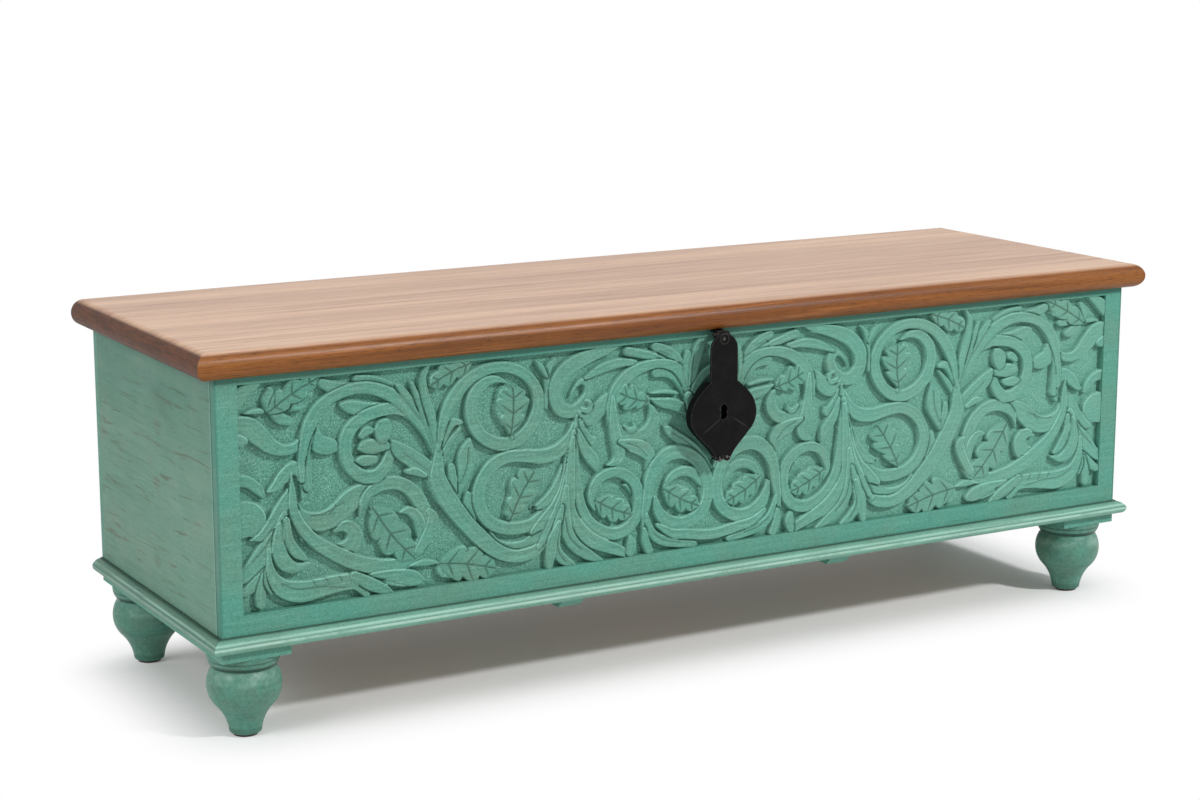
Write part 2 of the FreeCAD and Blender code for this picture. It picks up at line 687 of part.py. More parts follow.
# Back board, rebated at the ends, with the hinges' leaves let into its top edge.
board = block("back_board", (-half_width, inner_back_y, panel_z), (half_width, back_y, lid_z))
shapes = rebates("back", inner_back_y - overrun, side_back_y)
shapes += corner_nails("back_hole", "back", size.hole_fit)
for side, low_x in hinge_low_x.items():
    shapes.append(block(f"back_leaf_recess_{side}",
                        (low_x - size.joint_fit, leaf_low_y - size.joint_fit, lid_z - leaf_recess),
                        (low_x + size.hinge_length + size.joint_fit, back_y + overrun, lid_z + overrun)))
    shapes += hinge_screws(f"back_hinge_hole_{side}", low_x, "board", size.hole_fit)
piece("back_panel", cut("back_panel", board, shapes))

# Front board: rebated at the ends, its carved field sunk below a plain border,
# notched at the top for the hasp's hanger and slotted for the keeper. Scrolling
# stems and leaves are left standing in the field, one half the other's mirror.
staple_z = lid_z - size.staple_middle_drop
ground_y = front_y + size.field_depth
field_half_width = half_width - size.field_side_border
field_z = panel_z + size.field_bottom_border
field_height = lid_z - size.field_top_border - field_z
staple_tip_y = front_y - size.hasp_reach + size.hasp_plate + size.staple_play
staple_end_y = ground_y + size.staple_root
board = block("front_board", (-half_width, front_y, panel_z), (half_width, inner_front_y, lid_z))
shapes = rebates("front", side_front_y, inner_front_y + overrun)
shapes += corner_nails("front_hole", "front", size.hole_fit)
shapes += brads("front_brad_hole", "front", size.hole_fit)
shapes.append(block("carved_field", (-field_half_width, front_y - overrun, field_z),
                    (field_half_width, ground_y, field_z + field_height)))
shapes.append(block("hanger_notch",
                    (-size.hanger_width / 2 - size.joint_fit, front_y - overrun,
                     lid_z - size.hanger_thickness - size.joint_fit),
                    (size.hanger_width / 2 + size.joint_fit, inner_front_y + overrun, lid_z + overrun)))
shapes.append(block("keeper_slot",
                    (-size.staple_thickness / 2 - size.hole_fit, ground_y - overrun,
                     staple_z - size.staple_height / 2 - size.hole_fit),
                    (size.staple_thickness / 2 + size.hole_fit, staple_end_y + size.hole_fit,
                     staple_z + size.staple_height / 2 + size.hole_fit)))
sunk_board = cut("front_sunk_board", board, shapes)

# The pattern's grid has this many steps from the field's middle to its side and
# from its foot to its top. Each stem is (across, up, half width) along its middle
# line, in those steps, the half width in the upright ones.
across_grid_share, up_grid_share = 527, 223
stem_shares = {
    # The corner: a leaf in the top corner, a fan that opens at the side, and its foot.
    "corner_leaf": ((521, 180, 8), (508, 175, 9), (494, 161, 6.5), (474, 156, 3.5)),
    "corner_top": ((489, 199, 3), (472, 206, 5.5), (456, 211, 6)),
    "side_disc": ((512, 86, 11), (512, 96, 11)),
    "fan_tip": ((492, 119, 2.5), (483, 130, 5.5), (471, 137, 5.5), (462, 127, 5)),
    "fan_side": ((477, 110, 3.5), (485, 98, 5.5), (494, 86, 5)),
    "fan_low": ((501, 60, 5.5), (510, 50, 7), (520, 41, 5.5)),
    "fan_foot": ((488, 76, 4), (487, 58, 5.5), (480, 44, 4.5)),
    "foot_scroll": ((499, 52, 2), (496, 34, 4.5), (484, 20, 8), (462, 14, 9), (436, 16, 8), (412, 16, 6)),
    # The first roundel with its leaf, and the hooks beside it.
    "first_ring": ((472, 96, 3), (463, 75, 4.5), (443, 56, 5), (416, 38, 6), (385, 28, 6), (357, 28, 6),
                   (338, 45, 6), (334, 72, 6), (346, 97, 5.5), (372, 110, 5), (393, 104, 4)),
    "first_leaf": ((386, 82, 5), (377, 70, 11), (364, 52, 7)),
    "upper_hook": ((464, 91, 4), (452, 82, 6.5), (432, 83, 8.5), (411, 98, 7)),
    "lower_hook": ((416, 54, 5), (411, 65, 6), (420, 73, 4)),
    # The great arch over a curled bud.
    "great_arch": ((461, 150, 3), (455, 174, 5), (440, 195, 4.5), (414, 206, 4), (386, 204, 4.5),
                   (356, 188, 5), (334, 161, 4.5), (320, 136, 3)),
    "arch_lobe": ((447, 163, 4.5), (443, 156, 6.5), (436, 154, 5.5)),
    "bud_scroll": ((344, 173, 4.5), (364, 183, 4.5), (392, 181, 4.5), (413, 166, 5), (417, 142, 5),
                   (402, 121, 5), (384, 120, 5), (374, 130, 4)),
    "bud": ((397, 149, 5), (387, 148, 6.5), (378, 150, 3.5)),
    "bud_leaf": ((361, 143, 5), (347, 131, 7), (330, 120, 7)),
    # The trunk that the arch and the upper roundel spring from.
    "trunk": ((318, 134, 3), (321, 108, 9), (306, 81, 8.5), (284, 54, 7), (256, 27, 6), (228, 18, 5),
              (207, 24, 3)),
    "trunk_blade": ((324, 172, 2.5), (331, 191, 3), (335, 207, 2.5)),
    "trunk_top": ((320, 208, 7), (308, 212, 7), (297, 215, 5)),
    "trunk_leaf": ((286, 134, 4), (288, 120, 8), (292, 105, 5)),
    "upper_ring": ((316, 150, 3), (306, 179, 5), (287, 201, 4.5), (252, 213, 4), (218, 200, 4.5),
                   (206, 172, 5), (219, 145, 5), (243, 134, 5), (267, 142, 5), (282, 170, 5), (273, 194, 4)),
    "upper_leaf": ((246, 188, 5), (246, 173, 9), (244, 158, 4)),
    # Leaves along the foot.
    "foot_leaf_outer": ((374, 12, 3), (359, 10, 5), (345, 8, 4)),
    "foot_leaf_inner": ((311, 17, 10), (294, 15, 9), (276, 12, 6.5)),
    "foot_blade": ((184, 50, 3), (188, 30, 4.5), (184, 12, 4)),
    # The second roundel, and the scroll over it.
    "second_ring": ((167, 146, 2.5), (176, 128, 5), (204, 117, 6), (236, 121, 4.5), (263, 111, 5),
                    (276, 83, 5), (263, 58, 5), (236, 47, 5), (206, 53, 6), (186, 71, 6), (174, 102, 4)),
    "second_leaf": ((221, 99, 5), (229, 83, 10), (240, 65, 4)),
    "centre_scroll": ((124, 218, 2.5), (150, 213, 5), (176, 201, 7), (187, 178, 6), (177, 162, 5.5),
                      (161, 162, 5), (151, 175, 4)),
    "centre_blade": ((151, 151, 4.5), (142, 154, 6.5), (134, 162, 5)),
    "centre_stem": ((171, 80, 3), (168, 54, 4), (152, 28, 5), (128, 14, 5), (115, 9, 3.5)),
    # The third roundel, and the spiral over it.
    "third_ring": ((165, 118, 2.5), (163, 85, 3.5), (153, 49, 4.5), (130, 28, 5), (104, 30, 5),
                   (89, 54, 5), (97, 80, 4.5), (121, 91, 3.5), (141, 81, 3.5)),
    "third_leaf": ((131, 61, 6), (119, 58, 9), (106, 53, 5)),
    "spiral": ((33, 172, 3.5), (46, 193, 4), (72, 200, 4), (104, 189, 5), (121, 163, 5), (116, 135, 5),
               (94, 125, 5), (76, 134, 4.5)),
    "spiral_bud": ((101, 168, 3.5), (91, 165, 7), (82, 163, 4.5)),
    "spiral_crest": ((103, 215, 3.5), (88, 212, 4), (72, 209, 3)),
    "top_ribbon": ((136, 199, 3), (115, 204, 3.5), (98, 204, 2.5)),
    "band": ((98, 114, 3.5), (87, 110, 5), (79, 104, 4)),
    # The fourth roundel, and the leaves that meet at the middle.
    "fourth_ring": ((82, 36, 2), (77, 74, 5), (64, 97, 6), (40, 104, 6), (17, 89, 5), (8, 60, 4.5),
                    (20, 32, 5), (43, 26, 6), (63, 39, 4.5), (68, 54, 2.5)),
    "fourth_leaf": ((50, 62, 6), (39, 59, 9), (27, 53, 5)),
    "middle_crest": ((62, 214, 3.5), (51, 210, 4), (43, 203, 3)),
    "middle_blade": ((14, 217, 3), (21, 203, 4), (25, 186, 3)),
    "middle_drop": ((27, 156, 4), (21, 144, 6), (13, 130, 6), (8, 117, 3.5)),
    "middle_leaf": ((54, 128, 3), (44, 121, 4), (33, 115, 3.5)),
    "middle_foot": ((74, 22, 3.5), (62, 12, 4), (46, 8, 4)),
    "middle_ribbon": ((34, 15, 3), (21, 13, 4), (8, 12, 4)),
}
straight_share = 0.01
quarter_bend = math.tan(math.pi / 8)


def turn_between(first_way, next_way):
    """The smaller turn from one way to another, to the left when it is positive."""
    return math.remainder(next_way - first_way, math.tau)


def ways_along(points):
    """The way that a smooth line through the points runs at each of them."""
    steps = [(b[0] - a[0], b[1] - a[1]) for a, b in zip(points, points[1:])]
    chords = [(math.atan2(up, across), math.hypot(across, up)) for across, up in steps]
    ways = []
    for (way, length), (next_way, next_length) in zip(chords, chords[1:]):
        ways.append(way + turn_between(way, next_way) * length / (length + next_length))
    ends = ways or [chords[0][0]]
    start = chords[0][0] - turn_between(chords[0][0], ends[0])
    stop = chords[-1][0] + turn_between(ends[-1], chords[-1][0])
    return [start, *ways, stop]


def stem(name, points):
    """A stem or leaf round its middle line: arcs along both sides, round at both ends."""
    across_step, up_step = field_half_width / across_grid_share, field_height / up_grid_share
    ways = ways_along(points)
    sides = []
    for side in (1, -1):
        sides.append([(across_step * across - up_step * (math.sin(way) * half * side),
                       up_step * up + up_step * (math.cos(way) * half * side))
                      for (across, up, half), way in zip(points, ways)])
    bends = [math.tan(turn_between(a, b) / 4) for a, b in zip(ways, ways[1:])]
    bends = [(bend,) if abs(bend) > straight_share else () for bend in bends]
    first, second = sides
    tips = []
    for (across, up, half), way, reach in ((points[0], ways[0], -1), (points[-1], ways[-1], 1)):
        tips.append((across_step * across + up_step * (math.cos(way) * half * reach),
                     up_step * up + up_step * (math.sin(way) * half * reach)))
    corners = [first[0] + (-quarter_bend,)]
    corners += [corner + bend for corner, bend in zip(first[1:], bends)]
    corners += [tips[1] + (-quarter_bend,), second[-1] + (-quarter_bend,)]
    corners += [corner + tuple(-b for b in bend) for corner, bend in zip(second[-2::-1], bends[::-1])]
    corners.append(tips[0] + (-quarter_bend,))
    profile = upright(outline(name + "_outline", corners), "+x")
    place(profile, 0, ground_y - size.stem_height, field_z)
    return pulled(name, profile, ALONG_Y, size.stem_height + overrun)


right_stems = joined("stems_right", [stem(name, points) for name, points in stem_shares.items()])
left_stems = doc.addObject("Part::Mirroring", "stems_left")
left_stems.Source = right_stems
left_stems.Normal = ALONG_X
piece("front_panel", joined("front_panel", [sunk_board, left_stems, right_stems]))

# Base moulding: three strips round the foot of the boards, mitred at the two
# front corners and cut square, flush with the back board, at the back.
reach, height = size.moulding_reach, size.moulding_height
under_share, nose_share, quirk_share, quirk_drop_share = 0.7, 0.45, 0.19, 0.94
under_bulge, ovolo_bulge = 0.25, 0.3


def moulding_profile(name):
    return outline(name, [
        (reach * under_share, 0), (reach, height * nose_share, under_bulge),
        (reach * quirk_share, height * quirk_drop_share, ovolo_bulge),
        (reach * quirk_share, height), (0, height), (0, 0)])


profile = place(upright(moulding_profile("moulding_front_outline"), "-y"),
                -half_width - reach, front_y, panel_z)
bar = pulled("moulding_front_bar", profile, ALONG_X, size.body_width + reach * 2)
plan = outline("moulding_front_plan", [
    (size.body_width + reach * 2, 0), (size.body_width + reach, reach), (reach, reach), (0, 0)])
place(plan, -half_width - reach, front_y - reach, panel_z)
mitred = doc.addObject("Part::Common", "moulding_front_mitred")
mitred.Base = bar
mitred.Tool = pulled("moulding_front_plan_prism", plan, ALONG_Z, height)
piece("base_moulding_front", cut("base_moulding_front", mitred,
                                 brads("moulding_front_hole", "front", size.hole_fit)))

for side, left_right in SIDES:
    facing = "-x" if side == "left" else "+x"
    profile = upright(moulding_profile(f"moulding_{side}_outline"), facing)
    place(profile, half_width * left_right, front_y - reach, panel_z)
    bar = pulled(f"moulding_{side}_bar", profile, ALONG_Y, size.body_depth + reach)
    length = size.body_depth + reach
    if side == "left":
        corners = [(reach, reach), (reach, length), (0, length), (0, 0)]
        plan_x = -half_width - reach
    else:
        corners = [(reach, 0), (reach, length), (0, length), (0, reach)]
        plan_x = half_width
    plan = place(outline(f"moulding_{side}_plan", corners), plan_x, front_y - reach, panel_z)
    mitred = doc.addObject("Part::Common", f"moulding_{side}_mitred")
    mitred.Base = bar
    mitred.Tool = pulled(f"moulding_{side}_plan_prism", plan, ALONG_Z, height)
    piece(f"base_moulding_{side}", cut(f"base_moulding_{side}", mitred,
                                       brads(f"moulding_{side}_hole", side, size.hole_fit)))

# Lid battens, screwed up into the lid, clear of the boards all round.
batten_low_y = inner_front_y + size.batten_play + size.hanger_pad_length
batten_high_y = inner_back_y - size.batten_play
batten_bevel_share = 0.7
batten_screw_shares = (0.1, 0.5, 0.9)
batten_screws = []


def batten_screw_places(middle_x):
    run = batten_high_y - batten_low_y
    return [(middle_x, batten_low_y + run * share, lid_z - size.batten_thickness)
            for share in batten_screw_shares]


def batten_screw(name, at, extra=0):
    length = size.batten_thickness + size.wood_screw_bite + extra
    return screw(name, at, length, size.wood_screw_radius + extra,
                 size.wood_screw_head_radius + extra, wood_screw_head_depth, "z", 1)


for side, left_right in SIDES:
    middle_x = batten_x * left_right
    run = batten_high_y - batten_low_y
    bevel = size.batten_thickness * batten_bevel_share
    profile = outline(f"batten_{side}_outline", [
        (bevel, 0), (run - bevel, 0), (run, bevel), (run, size.batten_thickness),
        (0, size.batten_thickness), (0, bevel)])
    upright(profile, "+y")
    place(profile, middle_x - size.batten_width / 2, batten_low_y, lid_z - size.batten_thickness)
    bar = pulled(f"batten_{side}_bar", profile, ALONG_X, size.batten_width)
    holes = [batten_screw(f"batten_{side}_hole_{n}", at, size.hole_fit)
             for n, at in enumerate(batten_screw_places(middle_x))]
    piece(f"lid_batten_{side}", cut(f"lid_batten_{side}", bar, holes))
    batten_screws += [batten_screw(f"batten_{side}_screw_{n}", at)
                      for n, at in enumerate(batten_screw_places(middle_x))]
piece("batten_screws", group("batten_screws", batten_screws))

# Hasp hanger: a pad screwed under the lid inside the trunk, from which a narrow
# tongue passes over the front board and ends in one knuckle.
hasp_axis_y = front_y - size.hasp_reach + size.hasp_axis_inset
hasp_axis_z = lid_z - size.hasp_axis_drop - size.hasp_barrel_radius + size.hanger_thickness
hanger_z = lid_z - size.hanger_thickness
pad_low_y = inner_front_y + size.hanger_pad_inset
hanger_screw_shares = (0.3, 0.75)


def hanger_screws(prefix, extra=0):
    return [screw(f"{prefix}_{n}", (0, pad_low_y + size.hanger_pad_length * share, hanger_z),
                  size.screw_length + extra, size.screw_radius + extra,
                  size.screw_head_radius + extra, size.screw_head_depth, "z", 1)
            for n, share in enumerate(hanger_screw_shares)]


knuckle_half = size.hanger_width / 2
tongue = block("hanger_tongue", (-knuckle_half, hasp_axis_y, hanger_z),
               (knuckle_half, pad_low_y + size.hanger_pad_length / 2, lid_z))
pad = block("hanger_pad", (-size.hanger_pad_width / 2, pad_low_y, hanger_z),
            (size.hanger_pad_width / 2, pad_low_y + size.hanger_pad_length, lid_z))
barrel = rod("hanger_barrel", (-knuckle_half, hasp_axis_y, hasp_axis_z), size.hanger_width,
             size.hasp_barrel_radius, "x")
bore = rod("hanger_bore", (-knuckle_half - overrun, hasp_axis_y, hasp_axis_z),
           size.hanger_width + overrun * 2, size.hasp_pin_radius + size.pin_fit, "x")
piece("hasp_hanger", cut("hasp_hanger", joined("hanger_solid", [tongue, pad, barrel]),
                         [bore] + hanger_screws("hanger_hole", size.hole_fit)))
piece("hanger_screws", group("hanger_screws", hanger_screws("hanger_screw")))

# Lid: one thick board, its front and ends rounded to a full half circle, its
# back edge left square and notched for the hinges' barrels.
lid_half_width = half_width + size.lid_side_overhang
lid_front_y = front_y - size.lid_front_overhang
lid_back_y = back_y + size.lid_back_overhang
body = doc.addObject("PartDesign::Body", "lid_board")
profile = body.newObject("Sketcher::SketchObject", "lid_outline")
profile.AttachmentSupport = [(origin_plane(body, "XY_Plane"), "")]
profile.MapMode = "FlatFace"
lid_depth = lid_back_y - lid_front_y
draw(profile, [(lid_half_width * 2, 0), (lid_half_width * 2, lid_depth), (0, lid_depth), (0, 0)])
slab = body.newObject("PartDesign::Pad", "lid_slab")
slab.Profile = profile
bind(slab, "Length", size.lid_thickness)
doc.recompute()
slab_box = slab.Shape.BoundBox


def is_rounded(edge):
    """True for the six edges that lie along the lid's front and ends."""
    if edge.BoundBox.ZLength > slab_box.ZLength / 2:
        return False
    return edge.BoundBox.YLength > slab_box.YLength / 2 or edge.BoundBox.YMin < slab_box.YLength / 2


nose = body.newObject("PartDesign::Fillet", "lid_nose")
nose.Base = (slab, [f"Edge{n}" for n, edge in enumerate(slab.Shape.Edges, 1) if is_rounded(edge)])
bind(nose, "Radius", (size.lid_thickness - size.lid_nose_flat) / 2)
body.Tip = nose
place(body, -lid_half_width, lid_front_y, lid_z)
shapes = []
barrel_room = size.knuckle_radius + size.knuckle_gap * 2
for side, low_x in hinge_low_x.items():
    shapes.append(block(f"lid_leaf_recess_{side}",
                        (low_x - size.joint_fit, leaf_low_y - size.joint_fit, lid_z - overrun),
                        (low_x + size.hinge_length + size.joint_fit, back_y, lid_z + leaf_recess)))
    end_room = size.hinge_pin_head + size.joint_fit
    shapes.append(block(f"lid_barrel_notch_{side}",
                        (low_x - end_room, back_y, lid_z - overrun),
                        (low_x + size.hinge_length + end_room, lid_back_y + overrun, lid_z + barrel_room)))
    shapes += hinge_screws(f"lid_hinge_hole_{side}", low_x, "lid", size.hole_fit)
    middle_x = batten_x * dict(SIDES)[side]
    shapes += [batten_screw(f"lid_batten_hole_{side}_{n}", at, size.hole_fit)
               for n, at in enumerate(batten_screw_places(middle_x))]
shapes += hanger_screws("lid_hanger_hole", size.hole_fit)
piece("lid_panel", cut("lid_panel", body, shapes))

# Hasp: a strap with a round end above a heart-shaped lock case of iron, open at
# the back, with a keyhole in its face and two curled knobs at its toe. Its
# outline is drawn from its left edge, so that every place in it is positive.
hasp_face_y = front_y - size.hasp_reach
toe_z = lid_z - size.case_toe_drop
half = size.case_half_width
shoulder_up = size.case_toe_drop - size.strap_shoulder_drop
middle_up = size.case_toe_drop - size.case_middle_drop
strap_top_up = size.case_toe_drop - size.strap_drop
cheek_low_share, cheek_high_share = 0.82, 0.825
waist_share = 0.52
slant_share = 0.75
cheek_low_up_share, waist_up_share, cheek_high_up_share = 0.62, 0.35, 0.55
toe_bulge, cheek_bulge, cheek_top_bulge, shoulder_bulge = -0.1, 0.195, 0.15, 0.07
quarter_bulge = math.tan(math.radians(RIGHT_ANGLE) / 4)


def heart(name, inset, with_strap):
    """The hasp's outline, or the lock case's own, drawn in from its edge by inset."""
    toe = size.case_toe_half_width - inset
    slant = inset * slant_share
    waist = half * waist_share - slant
    low_cheek = half * cheek_low_share - slant
    high_cheek = half * cheek_high_share - slant
    high_z = middle_up + (shoulder_up - middle_up) * cheek_high_up_share
    right = [
        (toe, inset),
        (waist, middle_up * waist_up_share + slant, toe_bulge),
        (low_cheek, middle_up * cheek_low_up_share + slant),
        (half - inset, middle_up, cheek_bulge),
        (high_cheek, high_z - slant, cheek_top_bulge),
        (size.strap_half_width - slant / 2, shoulder_up - inset, shoulder_bulge)]
    if with_strap:
        right.append((size.strap_half_width, strap_top_up - size.strap_half_width))
    points = [(half + x, up) + tuple(rest) for x, up, *rest in right]
    bulge = []
    if with_strap:
        points.append((half, strap_top_up, quarter_bulge))
        bulge = [quarter_bulge]
    for x, up, *rest in reversed(right):
        points.append((half - x, up, *bulge))
        bulge = rest
    return outline(name, points)


def hasp_profile(name, inset, with_strap, y):
    return place(upright(heart(name, inset, with_strap), "+x"), -half, y, toe_z)


face = pulled("hasp_face", hasp_profile("hasp_outline", whole, True, hasp_face_y), ALONG_Y, size.hasp_plate)
rim = pulled("case_rim", hasp_profile("case_outline", whole, False, hasp_face_y), ALONG_Y, size.case_depth)
hollow = pulled("case_hollow", hasp_profile("case_hollow_outline", size.hasp_plate, False,
                                            hasp_face_y + size.hasp_plate), ALONG_Y, size.case_depth)
shell = cut("case_shell", rim, [hollow])
case_back_y = hasp_face_y + size.case_depth
plate_y = case_back_y - size.back_plate_thickness
inside_y = hasp_face_y + size.hasp_plate
solids = [face, shell]
knob_rise_share = 0.3
knob_z = toe_z + size.case_knob_radius * knob_rise_share
for side, left_right in SIDES:
    solids.append(rod(f"case_knob_{side}", (size.case_knob_offset * left_right, hasp_face_y, knob_z),
                      size.case_depth, size.case_knob_radius, "y"))
post_shares = {"high_left": (-0.55, 0.42), "high_right": (0.72, -0.1),
               "low_left": (-0.6, -0.25), "low": (0.18, -0.8)}
post_places = {name: (half * across_share, lid_z - size.case_middle_drop + half * up_share)
               for name, (across_share, up_share) in post_shares.items()}
for name, (x, z) in post_places.items():
    solids.append(rod(f"case_post_{name}", (x, hasp_face_y, z), plate_y - hasp_face_y, size.post_radius, "y"))
bolt_low_z = staple_z - size.bolt_height / 2
bolt_start_x = size.bolt_rest + size.bolt_nose_length
rail_length = size.bolt_length - size.bolt_rest
for name, low_z in (("under", bolt_low_z - size.bolt_play - size.rail_thickness),
                    ("over", bolt_low_z + size.bolt_height + size.bolt_play)):
    solids.append(block(f"case_rail_{name}", (bolt_start_x - size.bolt_rest, hasp_face_y, low_z),
                        (bolt_start_x + rail_length, plate_y - size.bolt_play, low_z + size.rail_thickness)))
keyhole_z = lid_z - size.keyhole_drop
keyhole = [
    rod("keyhole_round", (0, hasp_face_y - overrun, keyhole_z), size.hasp_plate + overrun * 2,
        size.keyhole_radius, "y"),
    rod("keyhole_foot", (0, hasp_face_y - overrun, keyhole_z - size.keyhole_length),
        size.hasp_plate + overrun * 2, size.keyhole_slot_radius, "y"),
    rod("strap_rivet_hole", (0, hasp_face_y - overrun, lid_z - size.hasp_rivet_drop),
        size.hasp_plate + overrun * 2, size.hasp_rivet_head_radius + size.joint_fit, "y"),
]
keyhole += [rod(f"post_hole_{name}", (x, inside_y, z), size.case_depth,
                size.case_rivet_radius + size.hole_fit, "y") for name, (x, z) in post_places.items()]
piece("hasp_case", cut("hasp_case", joined("hasp_case_solid", solids), keyhole))

# Back plate of the case, riveted to the posts, with a long slot that lets the
# keeper in and lets the case lift away from it as the lid opens.
plate_outline = hasp_profile("case_back_outline", size.hasp_plate + size.joint_fit, False, plate_y)
plate = pulled("case_back_blank", plate_outline, ALONG_Y, size.back_plate_thickness)
shapes = [block("case_back_slot",
                (-size.slot_half_width, plate_y - overrun, staple_z - size.slot_below),
                (size.slot_half_width, case_back_y + overrun, staple_z + size.slot_above))]
shapes += [rod(f"case_back_knob_{side}", (size.case_knob_offset * left_right, plate_y - overrun, knob_z),
               size.back_plate_thickness + overrun * 2, size.case_knob_radius + size.joint_fit, "y")
           for side, left_right in SIDES]
shapes += [rod(f"case_back_hole_{name}", (x, plate_y - overrun, z), size.back_plate_thickness + overrun * 2,
               size.case_rivet_radius + size.hole_fit, "y") for name, (x, z) in post_places.items()]
piece("hasp_back_plate", cut("hasp_back_plate", plate, shapes))
rivets = []
for name, (x, z) in post_places.items():
    shank = rod(f"case_rivet_{name}_shank", (x, inside_y + size.hole_fit, z),
                case_back_y - inside_y - size.hole_fit + size.case_rivet_head, size.case_rivet_radius, "y")
    head = rod(f"case_rivet_{name}_head", (x, case_back_y, z), size.case_rivet_head,
               size.case_rivet_radius * 2, "y")
    rivets.append(joined(f"case_rivet_{name}", [shank, head]))
piece("hasp_case_rivets", group("hasp_case_rivets", rivets))

# Hasp leaf, riveted behind the top of the strap, with a knuckle on each side of
# the hanger's, and the pin through all three.
leaf_back_y = inside_y + size.hasp_leaf_thickness
leaf_top_z = hasp_axis_z - size.hasp_leaf_drop
solids = [block("hasp_leaf_plate", (-size.hasp_leaf_half_width, inside_y, leaf_top_z - size.hasp_leaf_length),
                (size.hasp_leaf_half_width, leaf_back_y, leaf_top_z))]
knuckle_start = knuckle_half + size.knuckle_gap
knuckle_length = size.hasp_leaf_half_width - knuckle_start
for side, left_right in SIDES:
    start_x = knuckle_start if side == "right" else -size.hasp_leaf_half_width
    solids.append(rod(f"hasp_knuckle_{side}", (start_x, hasp_axis_y, hasp_axis_z), knuckle_length,
                      size.hasp_barrel_radius, "x"))
    solids.append(block(f"hasp_web_{side}", (start_x, inside_y, leaf_top_z - size.hasp_barrel_radius),
                        (start_x + knuckle_length, hasp_axis_y, hasp_axis_z)))
bores = [rod("hasp_leaf_bore", (-size.hasp_leaf_half_width - overrun, hasp_axis_y, hasp_axis_z),
             (size.hasp_leaf_half_width + overrun) * 2, size.hasp_pin_radius + size.pin_fit, "x"),
         rod("hasp_leaf_rivet_hole", (0, inside_y - overrun, lid_z - size.hasp_rivet_drop),
             size.hasp_leaf_thickness + overrun * 2, size.hasp_rivet_radius + size.hole_fit, "y")]
piece("hasp_leaf", cut("hasp_leaf", joined("hasp_leaf_solid", solids), bores))
shaft = rod("hasp_pin_shaft", (-size.hasp_leaf_half_width - size.hasp_pin_head, hasp_axis_y, hasp_axis_z),
            (size.hasp_leaf_half_width + size.hasp_pin_head) * 2, size.hasp_pin_radius, "x")
heads = []
for side, left_right in SIDES:
    start_x = size.hasp_leaf_half_width
    if side == "left":
        start_x = -start_x - size.hasp_pin_head
    heads.append(rod(f"hasp_pin_head_{side}", (start_x, hasp_axis_y, hasp_axis_z), size.hasp_pin_head,
                     (size.hasp_pin_radius + size.hasp_barrel_radius) / 2, "x"))
piece("hasp_pin", joined("hasp_pin", [shaft] + heads))
rivet_z = lid_z - size.hasp_rivet_drop
rivet_face_y = hasp_face_y + size.hasp_rivet_sink
shank = rod("strap_rivet_shank", (0, rivet_face_y, rivet_z), leaf_back_y - rivet_face_y,
            size.hasp_rivet_radius, "y")
head = rod("strap_rivet_head", (0, rivet_face_y, rivet_z), size.hasp_plate - size.hasp_rivet_sink,
           size.hasp_rivet_head_radius, "y")
piece("hasp_rivet", joined("hasp_rivet", [shank, head]))

# Lock bolt: its thick end slides between the rails, its thin end passes through
# the keeper's eye when the key throws it to the left.
bolt_y = inside_y + size.bolt_play
bolt_back_y = plate_y - size.bolt_play
eye_y = staple_tip_y + size.staple_nose
nose_y = eye_y + size.bolt_play
thick = block("bolt_thick", (bolt_start_x, bolt_y, bolt_low_z),
              (bolt_start_x + size.bolt_length, bolt_back_y, bolt_low_z + size.bolt_height))
thin = block("bolt_thin", (size.bolt_rest, nose_y, staple_z - size.bolt_nose_height / 2),
             (bolt_start_x + size.bolt_length / 2, nose_y + size.bolt_nose_thickness,
              staple_z + size.bolt_nose_height / 2))
talon = rod("bolt_talon", (bolt_start_x + size.bolt_length / 2, bolt_y - overrun, bolt_low_z),
            size.case_depth, size.bolt_height / 4, "y")
piece("lock_bolt", cut("lock_bolt", joined("lock_bolt_solid", [thick, thin]), [talon]))

# Keeper: a flat bar driven into the front board, with an eye for the bolt.
bar = block("keeper_bar", (-size.staple_thickness / 2, staple_tip_y, staple_z - size.staple_height / 2),
            (size.staple_thickness / 2, staple_end_y, staple_z + size.staple_height / 2))
eye = block("keeper_eye", (-size.staple_thickness, eye_y, staple_z - size.staple_eye_height / 2),
            (size.staple_thickness, nose_y + size.bolt_nose_thickness + size.bolt_play,
             staple_z + size.staple_eye_height / 2))
piece("lock_keeper", cut("lock_keeper", bar, [eye]))

doc.recompute()
for thing in doc.Objects:
    if "Invalid" in thing.State or "Error" in thing.State:
        raise RuntimeError(f"{thing.Name} could not be worked out: {thing.State}")
for name, thing in pieces.items():
    if thing.Shape.isNull() or not thing.Shape.isValid():
        raise RuntimeError(f"{name} has no sound shape")
for name, thing in pieces.items():
    thing.Shape.exportStep(f"parts/{name}.step")
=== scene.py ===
import math

import bpy
import numpy as np
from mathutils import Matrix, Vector
from mathutils.bvhtree import BVHTree


